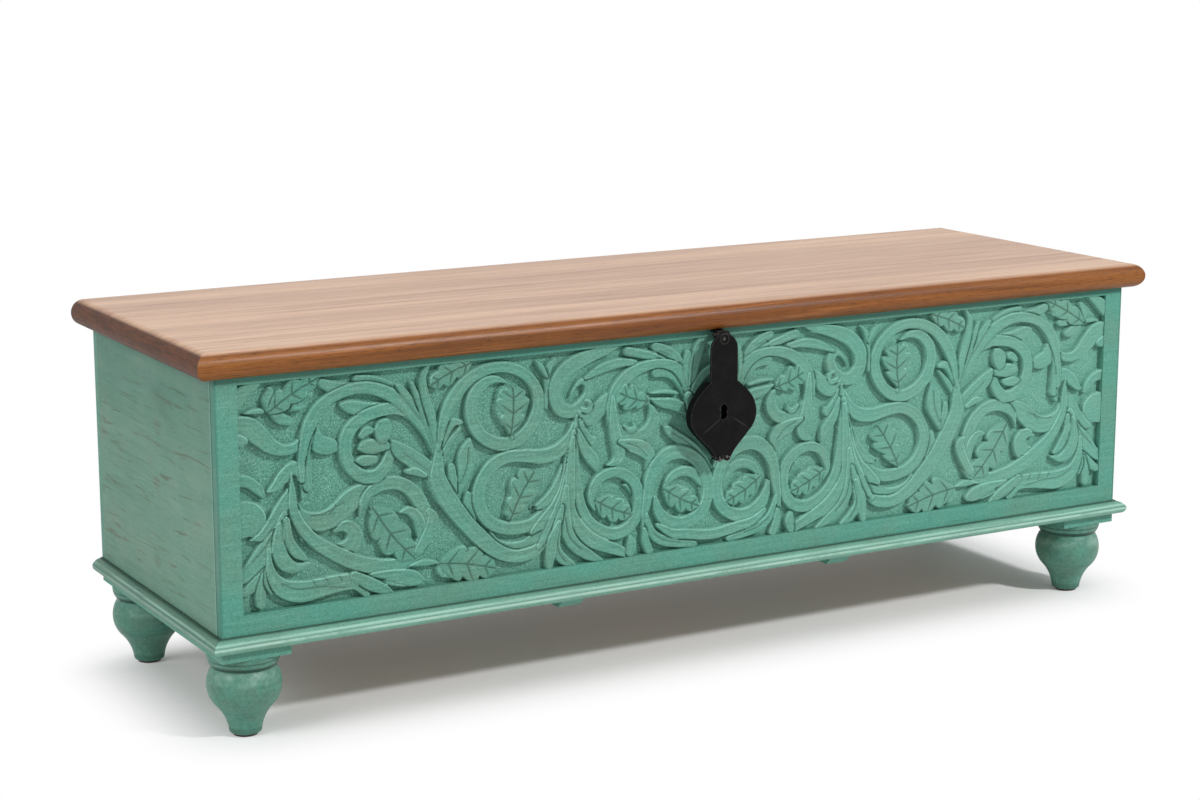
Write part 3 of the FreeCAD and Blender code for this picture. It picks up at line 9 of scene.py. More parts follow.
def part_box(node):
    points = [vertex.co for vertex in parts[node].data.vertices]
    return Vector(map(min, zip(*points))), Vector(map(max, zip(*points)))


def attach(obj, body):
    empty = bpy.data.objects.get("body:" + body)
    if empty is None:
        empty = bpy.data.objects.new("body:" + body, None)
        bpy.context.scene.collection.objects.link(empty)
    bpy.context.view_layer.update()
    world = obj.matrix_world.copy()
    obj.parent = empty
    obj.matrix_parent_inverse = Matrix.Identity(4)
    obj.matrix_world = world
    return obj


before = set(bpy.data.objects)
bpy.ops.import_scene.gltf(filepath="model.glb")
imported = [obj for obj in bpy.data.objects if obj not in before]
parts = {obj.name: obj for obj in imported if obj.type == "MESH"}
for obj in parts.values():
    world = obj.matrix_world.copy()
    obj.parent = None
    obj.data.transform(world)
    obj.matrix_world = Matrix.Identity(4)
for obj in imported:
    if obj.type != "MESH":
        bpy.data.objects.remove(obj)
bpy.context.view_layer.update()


# Runners and bottom board: softwood runners are screwed under the bottom board, and the broad
# ones carry the feet. They are painted with the box; the bottom board is bare sawn pine.

def colour(red, green, blue):
    """A colour as it looks on a screen, 0 to 255 each, for Blender's linear sockets."""
    shares = [level / 255 for level in (red, green, blue)]
    return (*[s / 12.92 if s <= 0.04 else ((s + 0.055) / 1.055) ** 2.4 for s in shares], 1.0)


class Tree:
    """The nodes of a finish or of the surroundings."""

    def __init__(self, owner):
        owner.use_nodes = True
        self.nodes, self.links = owner.node_tree.nodes, owner.node_tree.links

    def new(self, kind):
        return self.nodes.new("ShaderNode" + kind)

    def give(self, socket, value):
        """Joins a socket to a pattern, or sets it to a plain value."""
        if isinstance(value, bpy.types.NodeSocket):
            self.links.new(value, socket)
        else:
            socket.default_value = value

    def reckon(self, how, a, b=0.0):
        """One step of arithmetic on patterns and numbers."""
        node = self.new("Math")
        node.operation = how
        self.give(node.inputs[0], a)
        self.give(node.inputs[1], b)
        return node.outputs[0]

    def seen(self):
        """1 for what the camera sees straight, mirrored or through something."""
        rays = self.new("LightPath").outputs
        mirrored = self.reckon("MAXIMUM", rays["Is Camera Ray"], rays["Is Glossy Ray"])
        return self.reckon("MAXIMUM", mirrored, rays["Is Transmission Ray"])

    def show(self, share, under, top, out):
        """Shows a share of one shader over another."""
        either = self.new("MixShader")
        for socket, value in zip(either.inputs, (share, under.outputs[0], top.outputs[0])):
            self.links.new(value, socket)
        self.links.new(either.outputs[0], out.inputs["Surface"])


class Finish(Tree):
    """One finish, mixed step by step. Every pattern is laid out in the trunk's own metres."""

    def __init__(self, name):
        self.material = bpy.data.materials.new(name)
        super().__init__(self.material)
        self.shader = self.nodes["Principled BSDF"]
        self.place = self.new("TexCoord").outputs["Object"]
        split = self.new("SeparateXYZ")
        self.links.new(self.place, split.inputs[0])
        self.x, self.y, self.z = split.outputs

    def all_of(self, first, *rest):
        """Patterns and numbers multiplied, so high only where each of them is."""
        for other in rest:
            first = self.reckon("MULTIPLY", first, other)
        return first

    def between(self, value, low, high, out_low=0.0, out_high=1.0):
        """0 below low and 1 above high, with a soft step; low may be the larger one."""
        node = self.new("MapRange")
        node.interpolation_type = "SMOOTHSTEP"
        for name, number in (("Value", value), ("From Min", low), ("From Max", high),
                             ("To Min", out_low), ("To Max", out_high)):
            self.give(node.inputs[name], number)
        return node.outputs[0]

    def band(self, value, middle, width):
        """1 on a line at middle, fading to 0 within width on both sides."""
        away = self.reckon("ABSOLUTE", self.reckon("SUBTRACT", value, middle))
        return self.between(away, width, width * 0.3)

    def stretched(self, pitch, shift):
        """The place, counted in patches of one pitch, or of one each for x, y and z."""
        pitch = pitch if isinstance(pitch, (list, tuple)) else [pitch] * 3
        node = self.new("Mapping")
        self.links.new(self.place, node.inputs["Vector"])
        node.inputs["Scale"].default_value = [1 / length for length in pitch]
        node.inputs["Location"].default_value = shift
        return node.outputs[0]

    def mottle(self, pitch, detail=3.0, rough=0.55, bend=0.0, shift=(0, 0, 0)):
        """Cloudy patches about pitch metres long, from 0 to 1 and mostly near 0.5."""
        node = self.new("TexNoise")
        self.links.new(self.stretched(pitch, shift), node.inputs["Vector"])
        for name, number in (("Scale", 1.0), ("Detail", detail), ("Roughness", rough), ("Distortion", bend)):
            node.inputs[name].default_value = number
        return node.outputs["Fac"]

    def pits(self, pitch, shift=(0, 0, 0)):
        """How far the nearest of many scattered points is, in shares of the pitch."""
        node = self.new("TexVoronoi")
        self.links.new(self.stretched(pitch, shift), node.inputs["Vector"])
        node.inputs["Scale"].default_value = 1.0
        return node.outputs["Distance"]

    def carved_value(self, name):
        """A value that a carved mesh holds at each of its points."""
        node = self.new("Attribute")
        node.attribute_name = name
        return node.outputs["Fac"]

    def over(self, share, under, top):
        """A share of one colour over another."""
        node = self.new("Mix")
        node.data_type = "RGBA"
        self.give(node.inputs["Factor"], share)
        self.give(node.inputs["A"], under)
        self.give(node.inputs["B"], top)
        return node.outputs["Result"]

    def glaze(self, top, share, *where):
        """Lays a share of a colour over the tint, where all the patterns are high."""
        self.tint = self.over(self.all_of(*where, share), self.tint, top)

    def relief(self, height, depth, strength):
        """Small bumps depth metres high, laid over those already there."""
        node = self.new("Bump")
        node.inputs["Strength"].default_value = strength
        node.inputs["Distance"].default_value = depth
        self.links.new(height, node.inputs["Height"])
        under = self.shader.inputs["Normal"]
        if under.is_linked:
            self.links.new(under.links[0].from_socket, node.inputs["Normal"])
        self.links.new(node.outputs[0], under)

    def done(self, roughness, shine=0.5, metal=0.0):
        for name, value in (("Base Color", self.tint), ("Roughness", roughness),
                            ("Specular IOR Level", shine), ("Metallic", metal)):
            self.give(self.shader.inputs[name], value)
        return self.material


def dress(material, *names):
    """Puts a finish on CAD parts."""
    for name in names:
        mesh = parts[name].data
        mesh.materials.clear()
        mesh.materials.append(material)


def added(name, data):
    """A new object in the scene."""
    thing = bpy.data.objects.new(name, data)
    bpy.context.scene.collection.objects.link(thing)
    return thing


def grain_pitch(along, length, across):
    """The pitch of a grain that runs along one axis: 0 is x and 1 is y."""
    return [length if axis == along else across for axis in range(3)]


teal, teal_light, teal_chalk_and_highlight = colour(90, 152, 135), colour(122, 180, 162), colour(168, 208, 192)
teal_grey, teal_deep, teal_wash_and_shade = colour(102, 138, 120), colour(50, 98, 86), colour(20, 42, 36)
bare_brown = colour(112, 98, 74)


def rubbed_teal(name, along, seed, body=teal, greyed=0.3, worn=0.35, brushed=0.6):
    """Teal paint brushed on along the board, then rubbed back so that grain and wood show."""
    f = Finish(name)
    seed = (seed * 3.7, seed * 1.9, seed * 5.3)
    f.streak = f.mottle(grain_pitch(along, 0.085, 0.0022), 4.0, 0.62, 0.25, seed)
    f.fine = f.mottle(grain_pitch(along, 0.018, 0.0007), 3.0, 0.6, 0.0, seed)
    f.patch = f.mottle(0.045, 4.0, 0.62, 0.5, seed)
    cloud = f.mottle(0.11, 3.0, 0.55, 0.4, seed)
    tooth = f.mottle(0.0016, 3.0, 0.75, 0.0, seed)
    dirt = f.mottle(0.05, 2.0, 0.5, 0.0, seed)
    f.tint = f.over(f.between(cloud, 0.38, 0.64), body, f.over(0.45, body, teal_grey))
    f.glaze(teal_grey, greyed, f.between(f.patch, 0.42, 0.72))
    f.glaze(teal_light, 0.55 * brushed, f.between(f.streak, 0.5, 0.74))
    f.glaze(teal_deep, 0.6 * brushed, f.between(f.streak, 0.46, 0.26))
    f.glaze(teal_chalk_and_highlight, 0.45 * brushed, f.between(f.fine, 0.56, 0.78))
    f.glaze(teal_deep, 0.6 * brushed, f.between(f.fine, 0.42, 0.24))
    f.glaze(teal_wash_and_shade, 0.34, f.between(tooth, 0.5, 0.3))
    f.glaze(teal_chalk_and_highlight, 0.26, f.between(tooth, 0.54, 0.74))
    f.glaze(bare_brown, worn, f.between(f.patch, 0.6, 0.76), f.between(f.streak, 0.42, 0.6))
    f.glaze(teal_wash_and_shade, 0.6, f.between(f.pits(0.011, seed), 0.085, 0.05), f.between(dirt, 0.55, 0.68))
    return f


def painted(f, dull=0.62, shiny=0.42, fine_marks=0.35):
    """Brush marks stand up a little, and the paint shines more where it is rubbed."""
    f.relief(f.streak, 0.0005, 0.35)
    f.relief(f.fine, 0.0002, fine_marks)
    return f.done(f.between(f.patch, 0.3, 0.7, dull, shiny), shine=0.15)


runner_paint = painted(rubbed_teal("runner_teal", 1, 1, greyed=0.5))
dress(runner_paint, "end_runner_left", "end_runner_right", "mid_runner_left", "mid_runner_right")

pine_light, pine_dark, pine_knot = colour(172, 154, 130), colour(130, 112, 90), colour(84, 66, 50)


def sawn_pine(name, along, seed):
    """Bare pine with its growth rings, a few knots and the light fuzz of the saw."""
    f = Finish(name)
    seed = (seed * 2.3, seed * 4.1, seed * 1.3)
    rings = f.mottle(grain_pitch(along, 0.28, 0.008), 3.0, 0.5, 0.6, seed)
    fuzz = f.mottle(grain_pitch(along, 0.012, 0.0008), 3.0, 0.6, 0.0, seed)
    f.tint = f.over(f.between(rings, 0.42, 0.62), pine_light, pine_dark)
    f.glaze(pine_knot, 0.4, f.between(fuzz, 0.5, 0.75))
    f.glaze(pine_knot, 0.75, f.between(f.pits((0.21, 0.16, 0.16), seed), 0.09, 0.03))
    f.relief(fuzz, 0.0003, 0.4)
    return f.done(f.between(rings, 0.3, 0.7, 0.78, 0.62), shine=0.25)


dress(sawn_pine("pine_bottom", 0, 2), "bottom_board")


def plain_steel(name, dull, bright, rust, rusty=0.3):
    """Drawn or rolled steel with handling marks, and rust where damp has sat."""
    f = Finish(name)
    draw = f.mottle((0.0009, 0.004, 0.0009), 3.0, 0.6)
    spot = f.mottle(0.006, 4.0, 0.65)
    f.tint = f.over(f.between(draw, 0.35, 0.65), dull, bright)
    f.glaze(rust, rusty, f.between(spot, 0.52, 0.66))
    f.relief(draw, 0.00012, 0.4)
    return f.done(f.between(spot, 0.4, 0.65, 0.34, 0.62), metal=0.85)


nail_finish = plain_steel("nail_steel", colour(118, 118, 116), colour(168, 168, 165), colour(110, 74, 50))
dress(nail_finish, "runner_screws")


# Turned feet: each is turned from one block, a disc, a neck and a bulb that runs down to a
# toe, painted with the box; a pale band on the bulb is partly rubbed paint and partly painted
# highlight. A bolt holds it and a nailed glide ends it.

corners = ("front_left", "front_right", "back_left", "back_right")
toe_z, shoulder_z, neck_z, disc_z = 0.006, 0.064, 0.0725, 0.079
foot_body, foot_teal, foot_grey = colour(80, 136, 119), colour(78, 136, 119), colour(82, 120, 103)


def turned_teal(name, seed):
    """Paint dabbed on the turning, with the tool's chatter, dark wash and painted shade in the neck and
    creases, and a pale shoulder band, part rub and part painted highlight.
    """
    f = rubbed_teal(name, 0, seed, body=foot_body, greyed=0.55, worn=0.15)
    dab = f.mottle(0.0045, 4.0, 0.7, 0.0, (seed, 0, 0))
    smudge = f.mottle((0.022, 0.022, 0.016), 3.0, 0.6, 0.5, (seed, 3, 0))
    chatter = f.mottle((0.3, 0.3, 0.0016), 2.0, 0.5, 0.0, (seed, 0, 0))
    f.tint = f.over(0.6, f.tint, f.over(f.between(smudge, 0.36, 0.66), foot_teal, foot_grey))
    f.glaze(teal_light, 0.25, f.between(dab, 0.52, 0.74))
    f.glaze(teal_deep, 0.55, f.between(dab, 0.5, 0.28))
    f.glaze(teal_deep, 0.2, f.between(chatter, 0.52, 0.7))
    # Painted highlight, partly rubbed paint: a pale band round the shoulder of the bulb.
    f.glaze(teal_chalk_and_highlight, 0.3, f.band(f.z, shoulder_z, 0.01), f.between(smudge, 0.45, 0.68))
    # Painted shade, with dark wash: dark bands in the neck, in the crease under the disc and at the toe by
    # the floor.
    f.glaze(teal_wash_and_shade, 0.75, f.band(f.z, neck_z, 0.0032))
    f.glaze(teal_wash_and_shade, 0.5, f.band(f.z, disc_z, 0.0012))
    f.glaze(teal_wash_and_shade, 0.3, f.band(f.z, toe_z, 0.005))
    f.relief(dab, 0.0005, 0.3)
    f.relief(chatter, 0.0003, 0.25)
    return f.done(f.between(smudge, 0.3, 0.7, 0.5, 0.36), shine=0.25)


for number, corner in enumerate(corners):
    dress(turned_teal("foot_teal_" + corner, 11 + number), "foot_" + corner)
dress(nail_finish, *["foot_bolt_" + corner for corner in corners])

f = Finish("dark_glide")
scuff = f.mottle(0.003, 4.0, 0.7)
f.tint = f.over(f.between(scuff, 0.4, 0.7), colour(46, 32, 26), colour(74, 60, 50))
f.relief(scuff, 0.0003, 0.4)
dress(f.done(0.6), *["foot_glide_" + corner for corner in corners])


# End boards and back board: solid boards, nailed in rebates of the front and back. Their paint
# is greyer than the front's, with knots and the grain rubbed bare. The faces that look into
# the trunk are left as bare pine.

lap_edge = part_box("front_panel")[0].y + 0.01
room_x = -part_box("side_panel_left")[1].x
room_front, room_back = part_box("front_panel")[1].y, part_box("back_panel")[0].y
paint_start, paint_stop = 0.0008, 0.0002     # the paint fades out this far inside a board's face
end_body, end_light, end_dark = colour(103, 143, 125), colour(116, 148, 130), colour(82, 118, 102)
end_grain, end_knot, back_body = colour(86, 90, 68), colour(92, 80, 60), colour(94, 144, 127)


def bare_inside(f):
    """Leaves the paint off the faces that look into the trunk."""
    rings = f.mottle((0.28, 0.28, 0.009), 3.0, 0.5, 0.6, (3, 1, 2))
    fuzz = f.mottle((0.012, 0.012, 0.0008), 3.0, 0.6, 0.0, (3, 1, 2))
    within = f.all_of(f.between(f.reckon("ABSOLUTE", f.x), room_x + paint_start, room_x + paint_stop),
                      f.between(f.y, room_front - paint_start, room_front - paint_stop),
                      f.between(f.y, room_back + paint_start, room_back + paint_stop))
    paint = f.tint
    f.tint = f.over(f.between(rings, 0.38, 0.68, 0.0, 0.6), pine_light, pine_dark)
    f.glaze(pine_knot, 0.3, f.between(fuzz, 0.5, 0.75))
    f.tint = f.over(within, paint, f.tint)


def end_teal(name, seed):
    """Broad soft bands, veins of bare grain and knots; wash and a pale line along the lap."""
    f = rubbed_teal(name, 1, seed, body=end_body, greyed=0.75, worn=0.4, brushed=0.35)
    broad = f.mottle((0.5, 0.17, 0.03), 3.0, 0.6, 0.8, (seed, 2, 0))
    vein = f.mottle((0.5, 0.1, 0.0065), 4.0, 0.65, 1.2, (seed, 7, 0))
    knot = f.pits((0.4, 0.1, 0.075), (seed, 0.4, 0.3))
    f.glaze(end_light, 0.55, f.between(broad, 0.5, 0.68))
    f.glaze(end_dark, 0.45, f.between(broad, 0.42, 0.28))
    f.glaze(end_grain, 0.62, f.between(vein, 0.57, 0.66))
    f.glaze(end_knot, 0.7, f.between(knot, 0.16, 0.04), f.between(vein, 0.35, 0.6))
    # Painted shade: the board darkens towards the top, under the lid.
    f.glaze(teal_deep, 0.4, f.between(f.z, 0.2, 0.37))
    f.glaze(teal_wash_and_shade, 0.8, f.band(f.y, lap_edge, 0.0013))
    f.glaze(teal_light, 0.4, f.band(f.y, lap_edge + 0.0022, 0.0016))
    bare_inside(f)
    return painted(f, 0.6, 0.44, fine_marks=0.3)


dress(end_teal("end_teal_left", 21), "side_panel_left")
dress(end_teal("end_teal_right", 22), "side_panel_right")
f = rubbed_teal("back_teal", 0, 23, body=back_body, greyed=0.6, worn=0.45)
bare_inside(f)
dress(painted(f), "back_panel")
dress(nail_finish, "corner_nails_back")


# Front board: a solid board with a sunk field, its plain border left at full thickness.
# Bright teal brushed along the grain; the board's end grain shows as a strip at each corner.

front_end, front_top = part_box("front_panel")[1].x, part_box("front_panel")[1].z
f = rubbed_teal("front_teal", 0, 31, body=colour(84, 148, 131), greyed=0.25, worn=0.2, brushed=0.5)
# Painted shadow: the border darkens just under the lid.
f.glaze(teal_deep, 0.55, f.between(f.z, front_top - 0.0095, front_top - 0.0025))
f.glaze(teal_deep, 0.45, f.between(f.reckon("ABSOLUTE", f.x), front_end - 0.003, front_end - 0.0008))
f.glaze(teal_wash_and_shade, 0.8, f.band(f.y, lap_edge, 0.0012))
bare_inside(f)
dress(painted(f, 0.58, 0.4), "front_panel", "corner_nails_front")


# Carving: scrolling stems, oak leaves and roundels, cut in the same board level with its
# border, over a ground stippled with a punch. The right half mirrors the left. The edges are
# pale, partly rubbed paint and partly painted highlight on their upper sides, and dark wash
# with painted shade lies in the cuts.

field_half_width, field_foot, field_top = 0.527, 0.1296, 0.3524     # metres, as are the next four
ground_y, field_depth = -0.15655, 0.0085
carved_above_ground, punched_ground = 0.0077, 0.0005

# A stem is its kind of cut, its height, then x, z and half width along it, in millimetres on the
# left half. A leaf has its foot with its widest half width, then its tip with its bend.
strokes = (
    # corner leaf and its palmette
    ("round", 0.55, (-530, 336, 9), (-518, 345, 7), (-506, 352, 4)),
    ("dish", 0.9, (-532, 311, 11), (-517, 310, 11), (-505, 301, 10), (-495, 291, 8), (-482, 285, 6),
     (-470, 286, 5), (-463, 292, 3)),
    ("round", 0.62, (-532, 300, 7), (-524, 298, 6), (-518, 297, 2)),
    ("round", 0.75, (-521, 324, 0.5), (-508, 325, 3), (-495, 324, 1.5)),
    ("round", 0.9, (-497, 325, 2), (-497, 335, 4.5), (-493, 343, 4)),
    ("round", 0.9, (-494, 324, 2), (-484, 316, 6), (-474, 312, 4.5)),
    ("round", 0.9, (-492, 325, 2), (-476, 327, 6), (-463, 325, 4)),
    ("leaf", 0.95, (-498, 322, 15), (-441, 353, 2)),
    # arch leaf at the left border and the leaves under it
    ("cant", 0.7, (-532, 261, 7), (-518, 258, 6), (-508, 250, 5.5), (-503, 243, 3)),
    ("round", 0.7, (-532, 222, 19), (-519, 222, 17), (-510, 219, 9)),
    ("dish", 0.95, (-499, 246, 1), (-491, 250, 4.5), (-482, 259, 7), (-472, 266, 7), (-463, 262, 7),
     (-459, 250, 6), (-460, 240, 4), (-463, 235, 1)),
    ("dish", 0.85, (-474, 246, 4), (-482, 232, 7), (-492, 216, 8), (-503, 205, 6), (-517, 201, 1)),
    ("cant", 0.8, (-482, 222, 4), (-490, 202, 8), (-504, 187, 9), (-518, 172, 8), (-532, 162, 5)),
    ("round", 0.7, (-504, 170, 3), (-514, 158, 6), (-524, 151, 5)),
    ("round", 0.75, (-505, 166, 3), (-508, 148, 6), (-508, 137, 5)),
    ("round", 0.7, (-501, 172, 3), (-500, 158, 5), (-497, 149, 4)),
    # bottom-left ribbons
    ("dish", 0.95, (-499, 190, 2), (-497, 168, 5), (-487, 151, 9), (-468, 144, 11), (-448, 145, 10),
     (-428, 147, 9), (-411, 146, 8), (-402, 138, 6), (-398, 131, 4)),
    ("round", 0.8, (-487, 212, 4), (-488, 190, 8), (-482, 174, 8), (-470, 168, 5), (-458, 171, 2)),
    ("cant", 0.9, (-480, 216, 4), (-478, 198, 5), (-471, 184, 6), (-462, 176, 3)),
    # hook leaf over the first roundel
    ("dish", 0.9, (-471, 234, 3), (-466, 221, 6), (-455, 212, 9), (-440, 211, 10), (-426, 217, 11),
     (-414, 227, 11), (-401, 235, 8), (-386, 239, 3)),
    ("dish", 0.85, (-462, 196, 4), (-446, 186, 6), (-428, 179, 8), (-413, 183, 9), (-410, 195, 8),
     (-419, 203, 6), (-431, 199, 1.5)),
    # long ribbon from the corner fan into the first roundel's ring
    ("dish", 1.0, (-474, 262, 1), (-473, 240, 4), (-472, 224, 5), (-464, 207, 6), (-450, 191, 7),
     (-430, 177, 8), (-408, 165, 8), (-385, 158, 8), (-362, 156, 8), (-345, 164, 8), (-335, 180, 8),
     (-334, 202, 8), (-342, 222, 8), (-356, 236, 7), (-374, 240, 7), (-390, 235, 6), (-400, 225, 4),
     (-404, 211, 1)),
    ("cant", 0.85, (-360, 209, 1.5), (-350, 209, 5), (-341, 199, 6), (-338, 184, 5)),
    # leaf in the first roundel
    ("leaf", 0.85, (-391, 219, 23), (-345, 160, -3)),
    # inner lobes of the great arch, and the bud scroll under it
    ("round", 0.75, (-450, 300, 6), (-446, 288, 9), (-438, 284, 9), (-431, 283, 7), (-427, 279, 2)),
    ("round", 0.6, (-457, 246, 5), (-459, 262, 6), (-458, 282, 5), (-454, 300, 4)),
    ("dish", 0.9, (-420, 322, 3), (-410, 319, 7), (-392, 315, 7), (-374, 314, 6)),
    ("dish", 1.0, (-322, 268, 4), (-330, 283, 6), (-342, 301, 7), (-358, 312, 6.5), (-378, 313, 6.5),
     (-398, 308, 6.5), (-413, 296, 7), (-418, 279, 7), (-413, 262, 7), (-400, 250, 7), (-386, 249, 7),
     (-376, 257, 7), (-371, 268, 5), (-373, 277, 0.6)),
    ("round", 0.8, (-404, 277, 1), (-396, 279, 6.5), (-384, 278, 7), (-373, 277, 4)),
    ("round", 0.7, (-406, 266, 2), (-397, 265, 6), (-387, 265, 4.5)),
    ("round", 0.75, (-400, 290, 4), (-395, 294, 5), (-389, 294, 3)),
    ("round", 0.9, (-378, 288, 8), (-377, 294, 9.5), (-374, 300, 5)),
    ("cant", 0.9, (-368, 281, 2), (-360, 271, 8), (-346, 261, 9), (-332, 250, 9), (-320, 240, 6)),
    ("round", 0.75, (-352, 249, 3), (-344, 248, 4.5), (-334, 243, 3)),
    # great arch with its top lobes
    ("round", 0.75, (-440, 345, 5), (-430, 341, 6), (-414, 340, 4)),
    ("cant", 0.95, (-404, 346, 4), (-388, 343, 5), (-372, 337, 5), (-356, 326, 4)),
    ("dish", 1.0, (-463, 252, 2), (-463, 272, 4), (-460, 288, 5), (-455, 304, 7), (-446, 319, 7),
     (-432, 330, 6), (-414, 336, 6), (-394, 337, 6), (-374, 330, 7), (-356, 318, 7), (-340, 300, 7),
     (-328, 282, 6), (-320, 264, 5)),
    ("round", 0.8, (-364, 337, 1), (-358, 332, 4), (-348, 320, 4), (-336, 302, 3)),
    # first fan: upright stems and the leaves on its right
    ("round", 0.85, (-320, 268, 3), (-330, 296, 4), (-339, 318, 4), (-346, 336, 2.5)),
    ("round", 0.9, (-319, 270, 3), (-325, 298, 5), (-332, 322, 5), (-334, 340, 4), (-328, 352, 2)),
    ("leaf", 0.9, (-280, 351, 15), (-328, 331, -2)),
    ("round", 0.8, (-316, 266, 4), (-311, 282, 5), (-303, 292, 5), (-293, 292, 2.5)),
    ("cant", 0.7, (-313, 262, 3), (-305, 274, 3.5), (-294, 286, 2)),
    ("round", 0.85, (-283, 275, 0.6), (-287, 262, 8), (-288, 248, 10), (-292, 234, 6), (-297, 222, 3)),
    ("cant", 0.85, (-304, 248, 4), (-303, 235, 5), (-302, 220, 4), (-298, 206, 3)),
    ("cant", 0.85, (-286, 217, 4), (-286, 203, 6), (-282, 188, 6), (-272, 173, 4), (-255, 158, 2)),
    # lower leaf under the second roundel and the trunk of the first fan
    ("cant", 0.85, (-261, 178, 1), (-256, 166, 4), (-243, 157, 7), (-224, 156, 8), (-206, 164, 8),
     (-193, 176, 7), (-182, 192, 6)),
    ("cant", 0.95, (-330, 207, 3), (-325, 199, 6), (-331, 183, 6), (-341, 168, 5)),
    ("leaf", 0.88, (-320, 152, 24), (-255, 138, 2)),
    ("dish", 0.95, (-318, 272, 3), (-319, 254, 6), (-319, 238, 9), (-311, 220, 10), (-300, 203, 10),
     (-288, 188, 9), (-273, 172, 9), (-256, 157, 8), (-236, 148, 7), (-216, 149, 7), (-203, 156, 5),
     (-192, 168, 3)),
    # upper ring of the first fan and its leaf
    ("dish", 1.0, (-318, 268, 2), (-314, 290, 5), (-306, 309, 7), (-293, 327, 7), (-275, 339, 6),
     (-252, 343, 5.5), (-230, 338, 6), (-213, 324, 6), (-206, 305, 7), (-211, 286, 7), (-224, 271, 7),
     (-242, 264, 7), (-261, 269, 7), (-276, 282, 7), (-282, 300, 7), (-279, 317, 7), (-268, 328, 6),
     (-254, 331, 4), (-241, 326, 1)),
    ("round", 0.8, (-243, 284, 1.6), (-240, 277, 2), (-237, 270, 2)),
    ("palm", 0.85, (-239, 272, 23), (-236, 321, -2)),
    # second roundel
    ("dish", 1.0, (-163, 282, 2), (-172, 262, 6), (-186, 250, 8), (-204, 247, 8), (-222, 250, 7),
     (-242, 251, 6.5), (-259, 244, 7), (-271, 230, 7), (-275, 213, 7), (-270, 196, 7), (-257, 183, 7),
     (-238, 177, 7), (-217, 178, 7), (-200, 186, 8), (-187, 199, 8), (-178, 216, 7), (-173, 236, 5),
     (-168, 256, 3)),
    ("dish", 0.85, (-213, 195, 2), (-205, 197, 4.5), (-193, 205, 5.5), (-184, 218, 5), (-178, 234, 3)),
    ("palm", 0.85, (-241, 184, 21), (-212, 233, 2)),
    # bottom leaves between the roundels
    ("cant", 0.8, (-392, 150, 3), (-368, 147, 6), (-350, 142, 8), (-340, 138, 5)),
    ("round", 0.85, (-352, 154, 1), (-336, 155, 4), (-321, 153, 1.5)),
    ("cant", 0.75, (-410, 152, 5), (-395, 142, 7), (-380, 134, 6), (-372, 128, 4)),
    # centre fan: scroll with its eye, stem to the top border
    ("round", 0.75, (-198, 296, 2), (-197, 320, 3), (-195, 336, 4), (-188, 345, 2)),
    ("round", 0.7, (-197, 328, 2), (-203, 338, 3.5), (-208, 344, 2)),
    ("dish", 0.95, (-118, 352, 4), (-138, 347, 6), (-158, 341, 8), (-174, 333, 9), (-185, 320, 9),
     (-187, 305, 8), (-180, 293, 8), (-167, 290, 7), (-156, 296, 7), (-149, 306, 6), (-150, 316, 5),
     (-158, 319, 3), (-166, 312, 1.5), (-171, 304, 0.6)),
    ("round", 0.85, (-160, 288, 2), (-152, 280, 7), (-142, 284, 9), (-133, 293, 8), (-127, 301, 4)),
    ("dish", 0.95, (-158, 293, 1), (-154, 289, 3), (-148, 290, 3), (-147, 296, 3), (-152, 299, 2)),
    ("dish", 0.85, (-152, 322, 2), (-134, 330, 5), (-114, 334, 5), (-94, 333, 3)),
    # upper right spiral, its top lobes and its bud
    ("cant", 0.9, (-103, 345, 5), (-88, 341, 5), (-70, 336, 4), (-52, 330, 2)),
    ("cant", 0.9, (-70, 347, 5), (-58, 342, 5.5), (-46, 334, 5.5), (-36, 320, 4)),
    ("cant", 0.85, (-69, 319, 5), (-56, 319, 6), (-45, 313, 6), (-37, 302, 5), (-32, 290, 3)),
    ("dish", 1.0, (-29, 288, 3), (-34, 308, 6), (-46, 323, 6), (-64, 329, 5), (-86, 327, 6), (-104, 319, 7),
     (-117, 305, 7), (-122, 287, 7), (-119, 270, 7), (-108, 259, 7), (-93, 255, 7), (-79, 260, 7),
     (-72, 271, 7), (-74, 282, 4), (-79, 289, 1)),
    ("round", 0.6, (-107, 268, 2), (-101, 263, 3), (-95, 264, 3), (-95, 269, 1)),
    ("palm", 0.85, (-74, 290, 17), (-113, 303, 2)),
    ("cant", 0.85, (-76, 293, 1), (-64, 288, 5), (-50, 285, 6.5), (-36, 279, 6), (-24, 272, 3)),
    ("round", 0.75, (-76, 299, 1), (-60, 299, 2.5), (-44, 296, 2)),
    # leaves that rise to the top at the middle
    ("cant", 0.9, (-31, 337, 3.5), (-32, 326, 5), (-30, 312, 4.5), (-27, 296, 3)),
    ("cant", 0.9, (-8, 356, 4), (-17, 342, 6), (-23, 324, 6), (-26, 304, 4)),
    ("cant", 0.8, (0, 318, 5), (-12, 312, 5), (-22, 300, 4), (-28, 288, 2)),
    ("round", 0.7, (-30, 292, 5), (-24, 278, 8), (-14, 262, 8), (-6, 245, 6), (0, 230, 4)),
    ("cant", 0.85, (-59, 262, 1), (-53, 257, 5), (-42, 249, 6), (-29, 240, 6), (-16, 229, 5), (-4, 213, 4)),
    # band between the centre fan and the lower roundels
    ("dish", 0.85, (-121, 300, 2), (-119, 268, 6), (-115, 250, 7), (-113, 238, 7), (-119, 231, 4),
     (-127, 229, 1)),
    ("cant", 0.9, (-112, 252, 3), (-97, 247, 7), (-83, 241, 8), (-76, 231, 6), (-78, 216, 3)),
    # third roundel and what it holds
    ("cant", 0.8, (-107, 206, 1), (-98, 202, 5), (-90, 191, 5)),
    ("dish", 1.0, (-163, 284, 2), (-164, 262, 4), (-165, 240, 5), (-163, 215, 5.5), (-159, 194, 6),
